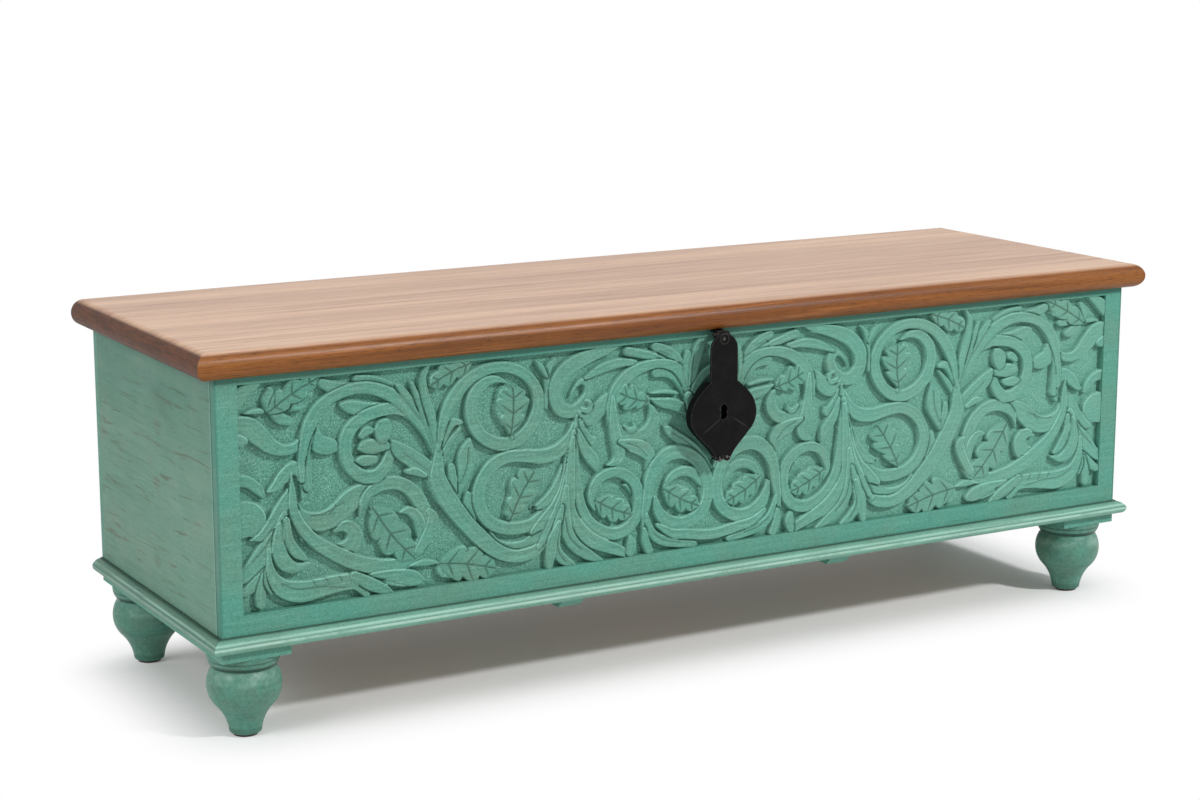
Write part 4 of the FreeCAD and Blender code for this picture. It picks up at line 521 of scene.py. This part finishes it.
     (-151, 176, 6.5), (-138, 163, 7), (-120, 156, 7), (-103, 160, 7), (-92, 173, 7), (-89, 190, 7),
     (-94, 206, 6.5), (-106, 217, 6), (-121, 221, 5.5), (-135, 217, 5.5), (-143, 207, 5.5), (-146, 194, 4),
     (-141, 182, 1)),
    ("leaf", 0.8, (-143, 195, 17), (-98, 174, -2)),
    # fourth roundel and what it holds
    ("cant", 0.85, (-59, 196, 2), (-51, 207, 5), (-38, 212, 5.5), (-24, 209, 6), (-13, 198, 5)),
    ("dish", 1.0, (-83, 142, 3), (-83, 165, 4), (-79, 190, 6), (-76, 208, 7), (-67, 224, 8), (-52, 233, 8),
     (-34, 232, 7.5), (-18, 222, 7), (-8, 206, 7), (-5, 188, 6.5), (-10, 171, 7), (-23, 160, 7),
     (-40, 156, 8), (-56, 162, 7.5), (-66, 174, 6), (-70, 188, 3)),
    ("leaf", 0.8, (-61, 197, 17), (-16, 173, -2)),
    # ribbons below the centre fan
    ("cant", 0.85, (-159, 280, 2), (-153, 264, 5), (-145, 256, 5), (-142, 262, 1)),
    ("cant", 0.9, (-161, 270, 2), (-154, 251, 6), (-144, 237, 7), (-139, 226, 3)),
    ("dish", 0.9, (-166, 268, 3), (-172, 240, 5), (-177, 214, 6), (-187, 194, 7), (-201, 180, 7),
     (-215, 170, 3)),
    ("cant", 0.85, (-170, 244, 3), (-176, 212, 5), (-183, 192, 6), (-194, 172, 6), (-207, 154, 3)),
    ("dish", 0.95, (-167, 262, 3), (-170, 235, 5), (-171, 208, 6), (-170, 188, 6), (-161, 169, 7),
     (-146, 153, 8), (-128, 144, 7), (-112, 137, 6), (-98, 130, 4)),
    ("cant", 0.85, (-175, 212, 3), (-177, 186, 6), (-174, 165, 7), (-164, 149, 7), (-148, 137, 6),
     (-134, 129, 3)),
    ("cant", 0.8, (-180, 192, 3), (-187, 166, 6), (-188, 150, 6), (-180, 138, 6), (-168, 129, 4)),
    ("round", 0.8, (-184, 176, 3), (-192, 158, 6), (-194, 142, 6), (-195, 131, 4)),
    # bottom middle
    ("cant", 0.9, (-80, 172, 2), (-75, 154, 5), (-64, 143, 6), (-44, 137, 6), (-22, 132, 4)),
    ("dish", 0.95, (-66, 158, 3), (-50, 148, 5), (-28, 144, 6), (-10, 141, 6), (4, 140, 6)),
    ("round", 0.75, (-100, 150, 3), (-98, 142, 6), (-100, 133, 5)),
    ("round", 0.8, (-83, 156, 3), (-81, 143, 5), (-77, 132, 5)),
)
# veins cut into stems and blades: (x, z) along each, in millimetres
veins = (
    ((-487, 155), (-470, 147), (-445, 146), (-420, 142)),
    ((-452, 149), (-456, 157), (-455, 160)),
    ((-438, 149), (-443, 157), (-442, 160)),
    ((-424, 149), (-428, 156), (-427, 159)),
    ((-436, 217), (-430, 223), (-431, 230)),
    ((-286, 266), (-288, 248), (-295, 230)),
    ((-490, 214), (-500, 196), (-516, 180)),
    ((-356, 268), (-342, 257), (-328, 246)),
    ((-455, 218), (-440, 219), (-420, 227)),
    ((-105, 341), (-88, 337)),
    ((-245, 165), (-222, 164), (-205, 171)),
    ((-66, 343), (-52, 337)),
    ((-24, 338), (-26, 318), (-27, 300)),
    ((-18, 274), (-9, 256), (-3, 238)),
    ((-50, 255), (-34, 245), (-18, 232)),
    ((-72, 150), (-58, 141), (-40, 137)),
    ((-176, 180), (-172, 160), (-158, 145)),
    ((-186, 160), (-184, 145), (-176, 134)),
    ((-104, 250), (-90, 244), (-80, 234)),
)
# round holes between the curls: x, z and radius, in millimetres
eyes = ((-152, 296, 2.4), (-212, 195, 2.2))


def drawn_out(points, steps=6):
    """A smooth line through the points."""
    p = np.array(points, float)
    p = np.vstack([2 * p[0] - p[1], p, 2 * p[-1] - p[-2]])
    line = []
    for a, b, c, d in zip(p, p[1:], p[2:], p[3:]):
        for k in range(steps):
            t = k / steps
            line.append(0.5 * (2 * b + (c - a) * t + (2 * a - 5 * b + 4 * c - d) * t * t
                               + (3 * b - a - 3 * c + d) * t ** 3))
    line = np.array(line + [p[-2]])
    line[:, 2] = np.maximum(line[:, 2], 0.3)
    return line


def beside(line, x, z):
    """Each place's distance from the line, positive on its left, and the half width there."""
    edge = np.full(x.shape, 1e9)
    off, width = np.zeros(x.shape), np.ones(x.shape)
    for (ax, az, aw), (bx, bz, bw) in zip(line, line[1:]):
        dx, dz = bx - ax, bz - az
        t = np.clip(((x - ax) * dx + (z - az) * dz) / (dx * dx + dz * dz + 1e-9), 0, 1)
        px, pz = x - ax - dx * t, z - az - dz * t
        w = aw + (bw - aw) * t
        away = np.hypot(px, pz)
        near = away - w < edge
        off = np.where(near, np.where(dx * pz - dz * px < 0, -away, away), off)
        width = np.where(near, w, width)
        edge = np.where(near, away - w, edge)
    return off, width


# widths in millimetres, depths and heights as shares of the full relief
wall, cut_width, lowest_stem = 1.0, 1.5, 0.92
rounded, dished, canted, canted_dish = 0.14, 0.17, 0.1, 0.06
gouge_pitches, gouge_depth, gouge_ridge_pale = (2.9, 5.3), 0.006, 0.15
lobes, lobe_slant, widest_at = 3.2, 0.65, {"leaf": 0.42, "palm": 0.66}
side_vein, middle_vein, leaf_vein_width, stem_vein_width = 0.16, 0.18, 1.2, 1.1


def leaf_form(kind, points, x, z):
    """An oak leaf: how far each place is past its edge, its height, and its veins' depth."""
    (foot_x, foot_z, widest), (tip_x, tip_z, bend) = points
    length = math.hypot(tip_x - foot_x, tip_z - foot_z)
    ux, uz = (tip_x - foot_x) / length, (tip_z - foot_z) / length
    x, z = x - foot_x, z - foot_z
    t = (x * ux + z * uz) / length
    off = x * uz - z * ux + bend * np.sin(math.pi * np.clip(t, 0, 1))
    lobe = lobes * (t - lobe_slant * np.abs(off) / length)
    swell = np.abs(np.sin(math.pi * lobe)) ** 0.6
    inner = np.clip(t - 0.7 * (1 - t) * np.abs(off) / length, 0.001, 0.999)
    belly = widest_at[kind]
    full = (inner / belly) ** belly * ((1 - inner) / (1 - belly)) ** (1 - belly)
    width = 0.84 * widest * full * (0.58 + 0.42 * swell)
    side = np.clip(off / np.maximum(width, 0.5), -1, 1)
    form = 1 - rounded + rounded * swell * np.sqrt(1 - side ** 2)
    from_vein = np.abs(lobe % 1 - 0.5) / lobes * length * 0.8
    veined = np.clip(1.9 - 1.9 * np.abs(side), 0, 1)
    groove = side_vein * np.clip(1 - from_vein / leaf_vein_width, 0, 1) * veined
    groove = np.maximum(groove, middle_vein * np.clip(1 - np.abs(off) / leaf_vein_width, 0, 1))
    edge = np.where((t > 0) & (t < 1), np.abs(off) - width, cut_width)
    return edge, form, groove


def stem_form(kind, line, top, x, z):
    """A stem: how far each place is past its edge, its height, and the marks of the gouge."""
    off, width = beside(line, x, z)
    side = np.clip(off / width, -1, 1)
    if kind == "round":
        form = 1 - rounded + rounded * np.sqrt(1 - side ** 2)
    elif kind == "dish":
        form = 1 - dished * (1 - side ** 2)
    else:
        form = 1 - canted + canted * side - canted_dish * (1 - side ** 2)
    waves = [np.cos(2 * math.pi * (off + top) / pitch) for pitch in gouge_pitches]
    return np.abs(off) - width, form, sum(waves) / len(waves)


cell = 0.42
xs = np.arange(-field_half_width * 1000 - 2, 2, cell)
zs = np.arange(field_foot * 1000 - 1, field_top * 1000 + 1, cell)
X, Z = np.meshgrid(xs, zs)
height, worn_edge_and_highlight, wash_and_cut_shade = (np.zeros_like(X) for _ in range(3))


def nearby(line, reach):
    """The part of the grid within reach of a line."""
    i = np.searchsorted(xs, (line[:, 0].min() - reach, line[:, 0].max() + reach))
    k = np.searchsorted(zs, (line[:, 1].min() - reach, line[:, 1].max() + reach))
    return slice(*k), slice(*i)


for kind, proud, *points in strokes:
    top = lowest_stem + (1 - lowest_stem) * proud
    line = drawn_out(points)
    here = nearby(line, line[:, 2].max() + 3)
    groove = gouge = 0
    if kind in widest_at:
        edge, form, groove = leaf_form(kind, points, X[here], Z[here])
    else:
        edge, form, gouge = stem_form(kind, line, top, X[here], Z[here])
    form = form + gouge_depth * (gouge - 1)
    inside = edge < 0
    rise = np.clip(-edge / wall, 0, 1)
    rise = rise * (2 - rise)
    beside_cut = np.clip(1 - edge / cut_width, 0, 1)
    under = height[here] * (1 - 0.5 * beside_cut)
    height[here] = np.where(inside, np.maximum(top * form * rise - groove, 0), under)
    # Painted highlight, partly rubbed paint: a pale rim along each stem's edge, strongest on its upper side;
    # the gouge ridges are painted pale too.
    upper_side = np.gradient(edge, cell, axis=0)
    rim = np.clip(1 - np.abs(edge + 0.75) / 0.75, 0, 1) * np.clip(0.5 + upper_side, 0, 1)
    rim = np.maximum(rim, gouge_ridge_pale * np.clip(gouge, 0, 1) ** 2)
    worn_edge_and_highlight[here] = np.where(inside, rim, worn_edge_and_highlight[here] * (1 - beside_cut))
    # Painted shade, with dark wash: in a leaf's veins, and on the ground beside a stem, more below it than
    # above.
    scored = np.clip(groove / 0.12, 0, 1)
    shaded = np.maximum(wash_and_cut_shade[here], beside_cut * (0.65 - 0.35 * upper_side))
    wash_and_cut_shade[here] = np.where(inside, 0.9 * scored, shaded)
# Painted shade, with dark wash, in the cut veins and in the round eyes.
for points in veins:
    line = drawn_out([(x, z, 0.5) for x, z in points], 4)
    here = nearby(line, 3)
    off, _ = beside(line, X[here], Z[here])
    scored = np.clip(1 - np.abs(off) / stem_vein_width, 0, 1) * (height[here] > 0.3)
    height[here] -= side_vein * scored
    wash_and_cut_shade[here] = np.maximum(wash_and_cut_shade[here], 0.9 * scored)
for x, z, radius in eyes:
    hole = np.clip(1.4 - np.hypot(X - x, Z - z) / radius, 0, 1)
    height *= 1 - hole
    wash_and_cut_shade = np.maximum(wash_and_cut_shade, hole)
height = np.clip(height, 0, 1)


def at(grid, x, z):
    """Reads a grid at places between its cells."""
    i = np.clip((x - xs[0]) / cell, 0, len(xs) - 1.001)
    k = np.clip((z - zs[0]) / cell, 0, len(zs) - 1.001)
    i0, k0 = i.astype(int), k.astype(int)
    u, v = i - i0, k - k0
    return ((grid[k0, i0] * (1 - u) + grid[k0, i0 + 1] * u) * (1 - v)
            + (grid[k0 + 1, i0] * (1 - u) + grid[k0 + 1, i0 + 1] * u) * v)


def ripple(x, z, pitch, seed):
    """Smooth random waves from -1 to 1, the same each run."""
    table = np.random.default_rng(seed).uniform(-1, 1, (256, 512))
    u, v = np.abs(x / pitch + 300), np.abs(z / pitch + 20)
    i, k = u.astype(int), v.astype(int)
    s, t = u - i, v - k
    s, t = s * s * (3 - 2 * s), t * t * (3 - 2 * t)
    low = table[k % 256, i % 512] * (1 - s) + table[k % 256, (i + 1) % 512] * s
    high = table[(k + 1) % 256, i % 512] * (1 - s) + table[(k + 1) % 256, (i + 1) % 512] * s
    return low * (1 - t) + high * t


def carved_rise(x, z, tall, open_ground):
    """How far the carving stands out, with the punch's marks on the ground and the knife's above."""
    punch = 0.3 * ripple(x, z, 2.1, 7) + 0.16 * ripple(x, z, 4.6, 8)
    knife = 0.06 * ripple(x / 3, z, 3.2, 9)
    rise = (punched_ground + tall * carved_above_ground) * 1000
    rise = rise + open_ground * punch + (1 - open_ground) * knife
    return np.clip(rise, 0.12, field_depth * 1000 - 0.05) / 1000


board = parts["front_panel"]
board_points = [board.matrix_world @ point.co for point in board.data.vertices]
plain_board = BVHTree.FromPolygons(board_points, [face.vertices for face in board.data.polygons])
toward_back, start_ahead, border_rise = Vector((0, 1, 0)), 0.02, 0.0078
columns, lines, overlap, stems_cover = 331, 279, 0.0003, 0.0001


def board_rise(x, z):
    """How far the board's own plain stems stand out, the tallest of each place's neighbours."""
    met = [plain_board.ray_cast(Vector((a, ground_y - start_ahead, b)), toward_back)[0]
           for a, b in zip(x.ravel() / 1000, z.ravel() / 1000)]
    rise = np.array([ground_y - point.y if point else 0.0 for point in met])
    rise = np.pad(np.where(rise < border_rise, rise, 0).reshape(x.shape), 1)
    return np.max([rise[r:r + lines, c:c + columns] for r in range(3) for c in range(3)], axis=0)


def closed_piece(name, front, worn, cut, ground):
    """A carved sheet with its side and a flat back, which lies in the board."""
    last = (lines - 1) * columns
    rim = (list(range(columns)) + list(range(2 * columns - 1, last, columns))
           + list(range(last + columns - 1, last - 1, -1)) + list(range(last - columns, 0, -columns)))
    back = front[rim].copy()
    back[:, 1] = ground_y + 0.001
    faces = [(n, n + 1, n + columns + 1, n + columns) for row in range(0, last, columns)
             for n in range(row, row + columns - 1)]
    first, count = len(front), len(rim)
    faces += [(rim[(n + 1) % count], rim[n], first + n, first + (n + 1) % count) for n in range(count)]
    faces.append(tuple(range(first + count - 1, first - 1, -1)))
    mesh = bpy.data.meshes.new(name)
    mesh.from_pydata(np.vstack([front, back]).tolist(), [], faces)
    for label, values in (("worn_edge_and_highlight", worn), ("wash_and_cut_shade", cut), ("ground", ground)):
        layer = mesh.attributes.new(label, "FLOAT", "POINT")
        layer.data.foreach_set("value", np.concatenate([values.ravel(), np.zeros(count)]).astype(np.float32))
    mesh.polygons.foreach_set("use_smooth", [True] * (len(faces) - count - 1) + [False] * (count + 1))
    return added(name, mesh)


f = rubbed_teal("carved_teal", 0, 33, body=colour(84, 144, 126), greyed=0.5, worn=0.25, brushed=0.7)
on_edge_wear_and_highlight, in_wash_and_shade, on_ground = (f.carved_value(name) for name in ("worn_edge_and_highlight", "wash_and_cut_shade", "ground"))
grit = f.mottle(0.0013, 3.0, 0.7)
f.glaze(colour(98, 155, 137), 0.6, on_ground)
f.glaze(teal_deep, 0.6, on_ground, f.between(grit, 0.52, 0.36))
f.glaze(teal_chalk_and_highlight, 0.6, on_ground, f.between(grit, 0.54, 0.68))
f.glaze(teal_wash_and_shade, 0.22, f.between(grit, 0.5, 0.32))
f.glaze(teal_chalk_and_highlight, 0.22, f.between(grit, 0.56, 0.74))
# The carving is painted lighter towards the right.
f.tint = f.over(f.between(f.x, -0.45, 0.45, 0.0, 0.3), f.tint, teal_light)
# Painted shade, with dark wash, in the cuts.
f.glaze(teal_wash_and_shade, 0.66, in_wash_and_shade)
# Painted highlight, partly rubbed paint, on the stems' edges.
f.glaze(colour(156, 216, 199), 0.8, on_edge_wear_and_highlight, f.between(f.streak, 0.22, 0.48))
f.relief(f.streak, 0.0004, 0.35)
f.relief(grit, 0.0003, 0.25)
carved_paint = f.done(f.between(f.patch, 0.3, 0.7, 0.6, 0.45), shine=0.15)

upward = np.linspace(field_foot - overlap, field_top + overlap, lines)
for place, start, stop in (("outer_left", -1.0, -0.5), ("inner_left", -0.5, 0.0),
                           ("inner_right", 0.0, 0.5), ("outer_right", 0.5, 1.0)):
    across = np.linspace(start * field_half_width - overlap, stop * field_half_width + overlap, columns)
    x, z = np.meshgrid(across * 1000, upward * 1000)
    tall, worn, cut = (at(grid, -np.abs(x), z) for grid in (height, worn_edge_and_highlight, wash_and_cut_shade))
    open_ground = np.clip(1 - tall / 0.25, 0, 1)
    rise = np.maximum(carved_rise(x, z, tall, open_ground), board_rise(x, z) + stems_cover)
    front = np.stack([x / 1000, ground_y - rise, z / 1000], axis=-1).reshape(-1, 3)
    carving = closed_piece("carving_" + place, front, worn, cut, open_ground)
    carving.data.materials.append(carved_paint)
    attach(carving, "chest")


# Base moulding: strips run with a cove, a quirk and a round nose, mitred at the front corners
# and bradded on. The crease against the boards and the quirk hold dark wash and painted shade;
# the lip has a painted highlight, and the nose is pale, partly rubbed and partly painted highlight.

crease_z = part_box("base_moulding_front")[1].z
lip_z, quirk_z, nose_z = crease_z - 0.0042, crease_z - 0.0066, crease_z - 0.0084
front_strip, side_strip, nose_chalk_and_highlight = colour(116, 167, 149), colour(86, 128, 110), colour(178, 212, 196)


def moulded_teal(name, along, seed, body, nose_wear_and_highlight, worn):
    f = rubbed_teal(name, along, seed, body=body, greyed=0.4, worn=worn)
    # Painted shade, with dark wash, in the crease against the boards and in the quirk.
    f.glaze(teal_wash_and_shade, 0.75, f.band(f.z, crease_z, 0.0016))
    # Painted highlight on the lip; on the nose, partly rubbed paint and partly painted highlight.
    f.glaze(teal_chalk_and_highlight, 0.6, f.band(f.z, lip_z, 0.0014), f.between(f.streak, 0.3, 0.6))
    f.glaze(teal_deep, 0.55, f.band(f.z, quirk_z, 0.0009))
    f.glaze(nose_chalk_and_highlight, nose_wear_and_highlight, f.band(f.z, nose_z, 0.002), f.between(f.patch, 0.25, 0.55))
    f.relief(f.streak, 0.0004, 0.3)
    f.relief(f.fine, 0.0002, 0.3)
    return f.done(0.45, shine=0.22)


for side, along, seed, body, nose_wear_and_highlight, worn in (("front", 0, 41, front_strip, 0.7, 0.3),
                                             ("left", 1, 42, side_strip, 0.25, 0.8),
                                             ("right", 1, 43, side_strip, 0.25, 0.8)):
    dress(moulded_teal("moulding_teal_" + side, along, seed, body, nose_wear_and_highlight, worn), "base_moulding_" + side)
dress(runner_paint, "moulding_brads")


# Lid: one thick board with a full round edge at the front and ends, stained orange brown and
# varnished to a satin shine. Two pine battens are screwed across its underside.

lid_light, lid_brown, lid_amber = colour(142, 86, 36), colour(114, 64, 24), colour(176, 112, 62)
lid_dark, lid_pore = colour(72, 40, 22), colour(44, 25, 15)
lit_top_light, lit_top_brown, lit_top_ring = colour(207, 172, 144), colour(186, 151, 127), colour(138, 94, 66)
lid_low, lid_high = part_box("lid_panel")
f = Finish("varnished_lid")
plank = f.mottle(grain_pitch(0, 1.1, 0.045), 3.0, 0.5, 0.7, (0.3, 1.7, 0.2))
rings = f.mottle(grain_pitch(0, 0.36, 0.0095), 4.0, 0.62, 0.7, (2.1, 0.4, 0.9))
grain = f.mottle(grain_pitch(0, 0.05, 0.0011), 4.0, 0.68, 0.1)
pores = f.mottle(grain_pitch(0, 0.012, 0.00055), 2.0, 0.6)
flame = f.mottle((0.002, 0.03, 0.0026), 4.0, 0.65, 0.6)
on_top = f.between(f.z, lid_high.z - 0.003, lid_high.z - 0.0002)
from_end = f.reckon("SUBTRACT", f.reckon("ABSOLUTE", f.x), lid_high.x)
past_corner = f.reckon("ADD", from_end, f.reckon("SUBTRACT", f.y, lid_low.y))
at_end = f.all_of(f.between(from_end, -0.014, -0.011), f.between(past_corner, -0.0006, 0.0006))
# Painted light and reflection: the top's colours are paler than the edges'.
f.tint = f.over(f.between(plank, 0.36, 0.64), lit_top_light, lit_top_brown)
f.glaze(lit_top_ring, 0.4, f.between(rings, 0.46, 0.66))
f.glaze(lid_brown, 0.34, f.between(grain, 0.52, 0.74))
f.glaze(lid_dark, 0.3, f.between(pores, 0.56, 0.72))
lit_top_tint = f.tint
f.tint = f.over(f.between(plank, 0.36, 0.64), lid_light, lid_brown)
f.glaze(lid_dark, 0.45, f.between(rings, 0.5, 0.68))
f.glaze(lid_amber, 0.45, f.between(rings, 0.44, 0.3))
f.glaze(lid_dark, 0.6, f.between(grain, 0.5, 0.72))
f.glaze(lid_pore, 0.7, f.between(pores, 0.55, 0.7))
f.glaze(f.over(f.between(flame, 0.36, 0.7), colour(42, 17, 6), colour(88, 44, 17)), 0.85, at_end)
# Painted light and reflection: the top is laid paler over the stained colours.
f.glaze(lit_top_tint, 0.92, on_top)
f.relief(grain, 0.0002, 0.25)
f.relief(pores, 0.0002, 0.2)
sheen = f.reckon("ADD", f.between(grain, 0.3, 0.7, 0.34, 0.42), f.all_of(at_end, 0.16))
dress(f.done(sheen, shine=0.25), "lid_panel")
dress(sawn_pine("pine_battens", 1, 52), "lid_batten_left", "lid_batten_right")
dress(nail_finish, "batten_screws")


# Butt hinges: two steel hinges let into the lid and the back board, with riveted pins and
# countersunk screws, gone dull and a little rusty.

dull_steel, bright_steel, hinge_rust = colour(112, 104, 92), colour(150, 142, 128), colour(104, 66, 40)
hinge_finish = plain_steel("hinge_steel", dull_steel, bright_steel, hinge_rust, rusty=0.55)
dress(hinge_finish, *[name for name in parts if name.startswith("hinge_")])


# Hasp: a cast iron lock case with its strap, painted satin black, hung on a pin from a plate
# under the lid. A back plate riveted on its posts closes it; the knobs at its toe carry painted glints.

iron_black, iron_rubbed, iron_grey = colour(11, 11, 11), colour(18, 18, 18), colour(38, 37, 37)
iron_rust, iron_edge_highlight, iron_crease = colour(34, 24, 20), colour(92, 88, 84), colour(64, 62, 60)
iron_shadow, iron_glint, rivet_glint = colour(3, 3, 3), colour(168, 166, 162), colour(110, 108, 105)
creases = ((-0.0254, 0.255, -0.0034, 0.2688), (0.0117, 0.2684, 0.0279, 0.2574))     # x, z to x, z
rivet_z = sum(corner.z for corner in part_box("hasp_rivet")) / 2
knob_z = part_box("hasp_case")[0].z + 0.0045


def black_iron(name, seed):
    """Satin black over cast iron; the rounded edges are pale, partly thin paint and partly painted
    highlight.
    """
    f = Finish(name)
    bevel, facing, turned = map(f.new, ("Bevel", "NewGeometry", "VectorMath"))
    bevel.inputs["Radius"].default_value = 0.0016
    turned.operation = "DOT_PRODUCT"
    f.links.new(bevel.outputs[0], turned.inputs[0])
    f.links.new(facing.outputs["True Normal"], turned.inputs[1])
    at_edge_highlight = f.between(turned.outputs["Value"], 0.985, 0.86)
    cast = f.mottle(0.0022, 5.0, 0.7, 0.0, (seed, 0, 0))
    f.rub = f.mottle(0.017, 4.0, 0.62, 0.4, (0, seed, 0))
    f.tint = f.over(f.between(f.rub, 0.4, 0.7), iron_black, iron_rubbed)
    f.glaze(iron_grey, 0.35, f.between(cast, 0.58, 0.76))
    f.glaze(iron_rust, 0.35, f.between(f.rub, 0.62, 0.74))
    # Painted highlight, partly thin paint, on the rounded edges.
    f.glaze(iron_edge_highlight, 0.55, at_edge_highlight, f.between(cast, 0.35, 0.6))
    f.relief(cast, 0.0003, 0.25)
    return f


def distance(f, a, b):
    """How far a place lies off, from its steps along two axes."""
    return f.reckon("SQRT", f.reckon("ADD", f.reckon("POWER", a, 2.0), f.reckon("POWER", b, 2.0)))


f = black_iron("hasp_iron", 3)
for x1, z1, x2, z2 in creases:
    length = math.hypot(x2 - x1, z2 - z1)
    ux, uz = (x2 - x1) / length, (z2 - z1) / length
    x, z = f.reckon("SUBTRACT", f.x, x1), f.reckon("SUBTRACT", f.z, z1)
    along = f.reckon("ADD", f.reckon("MULTIPLY", x, ux), f.reckon("MULTIPLY", z, uz))
    aside = f.reckon("SUBTRACT", f.reckon("MULTIPLY", x, uz), f.reckon("MULTIPLY", z, ux))
    f.glaze(iron_crease, 0.6, f.band(aside, 0.0, 0.0007), f.band(along, length / 2, length * 0.65))
from_rivet = distance(f, f.x, f.reckon("SUBTRACT", f.z, rivet_z))
# Painted shade in a ring round the rivet, and a faint painted highlight ring outside it.
f.glaze(iron_shadow, 0.9, f.band(from_rivet, 0.0032, 0.0014))
f.glaze(colour(110, 108, 106), 0.12, f.band(from_rivet, 0.0052, 0.001))
# Painted glints on the knobs at the toe.
glint = f.mottle(0.0026, 2.0, 0.5, 0.0, (4, 0, 0))
f.glaze(iron_glint, 0.6, f.between(f.z, knob_z + 0.002, knob_z), f.between(glint, 0.54, 0.66))
dress(f.done(f.between(f.rub, 0.35, 0.7, 0.56, 0.42), shine=0.08), "hasp_case")
plain_iron = black_iron("plain_iron", 5).done(0.5, shine=0.08)
dress(plain_iron, "hasp_back_plate", "hasp_leaf", "hasp_hanger")
f = black_iron("rivet_iron", 7)
from_rivet = distance(f, f.x, f.reckon("SUBTRACT", f.z, rivet_z))
# Painted glint at the middle of the rivet.
f.glaze(rivet_glint, 0.5, f.between(from_rivet, 0.0016, 0.0006))
rivet_iron = f.done(0.42, shine=0.3)
dress(rivet_iron, "hasp_rivet", "hasp_case_rivets", "hasp_pin")
dress(nail_finish, "hanger_screws")


# Lock: an eyed iron bar is driven into the front board and reaches through the slot in the
# hasp's back plate. The key throws an iron bolt through its eye. Both are painted black.

dress(plain_iron, "lock_keeper")
dress(rivet_iron, "lock_bolt")


# Studio: a pale floor and white surroundings, a soft lamp high on the right of the front, a
# weaker one on the left, one above, and the camera where the photograph was taken.

floor_half = 6.0
dark_half_width, dark_half_depth, dark_edge = 0.5, 0.11, 0.13     # the shaded floor round the trunk
least_glow, room_light, white_light = 0.035, 0.32, 1.0
trunk_middle = (0.0, 0.0, 0.2)

mesh = bpy.data.meshes.new("studio_floor")
mesh.from_pydata([(x * floor_half, y * floor_half, 0) for x, y in ((-1, -1), (1, -1), (1, 1), (-1, 1))],
                 [], [(0, 1, 2, 3)])
f = Finish("studio_floor")
glow = f.new("Emission")
glow.inputs["Color"].default_value = (1, 1, 1, 1)
# The floor glows white to the camera beyond the trunk's shaded patch, and a little inside it, which lightens
# the trunk's shadow.
past_end = f.reckon("MAXIMUM", f.reckon("SUBTRACT", f.reckon("ABSOLUTE", f.x), dark_half_width), 0.0)
past_front = f.reckon("MAXIMUM", f.reckon("SUBTRACT", f.reckon("ABSOLUTE", f.y), dark_half_depth), 0.0)
glowing = f.between(distance(f, past_end, past_front), 0.0, dark_edge, least_glow, 1.0)
f.show(f.all_of(glowing, f.seen()), f.shader, glow, f.nodes["Material Output"])
f.tint = (0.93, 0.93, 0.93, 1)
mesh.materials.append(f.done(0.7, shine=0.1))
floor = added("studio_floor", mesh)

world = bpy.data.worlds.new("studio")
bpy.context.scene.world = world
tree = Tree(world)
tree.nodes.clear()
room, white, out = map(tree.new, ("Background", "Background", "OutputWorld"))
for ground, strength in ((room, room_light), (white, white_light)):
    ground.inputs["Color"].default_value = (1, 1, 1, 1)
    ground.inputs["Strength"].default_value = strength
tree.show(tree.seen(), room, white, out)


def lamp(name, place, size, power):
    """A round lamp aimed at the trunk's middle."""
    light = bpy.data.lights.new(name, "AREA")
    light.shape, light.size, light.energy = "DISK", size, power
    thing = added(name, light)
    thing.location = place
    way = [there - here for here, there in zip(place, trunk_middle)]
    thing.rotation_euler = Vector(way).to_track_quat("-Z", "Y").to_euler()


lamp("key_lamp", (1.5, -3.0, 2.7), size=0.4, power=106)
lamp("fill_lamp", (-2.4, -0.7, 1.5), size=1.2, power=26)
lamp("top_lamp", (0.2, 0.6, 2.8), size=1.6, power=20)

camera_place, camera_dip, camera_turn = (-1.3666, -2.30375, 0.8055), 0.2026, -0.5218
film_width, focal_length = 36.0, 74.67
camera = added("camera", bpy.data.cameras.new("camera"))
camera.location = camera_place
camera.rotation_euler = (math.pi / 2 - camera_dip, 0.0, camera_turn)
camera.data.sensor_fit = "HORIZONTAL"
camera.data.sensor_width = film_width
camera.data.lens = focal_length
bpy.context.scene.camera = camera
bpy.context.scene.view_settings.view_transform = "Standard"
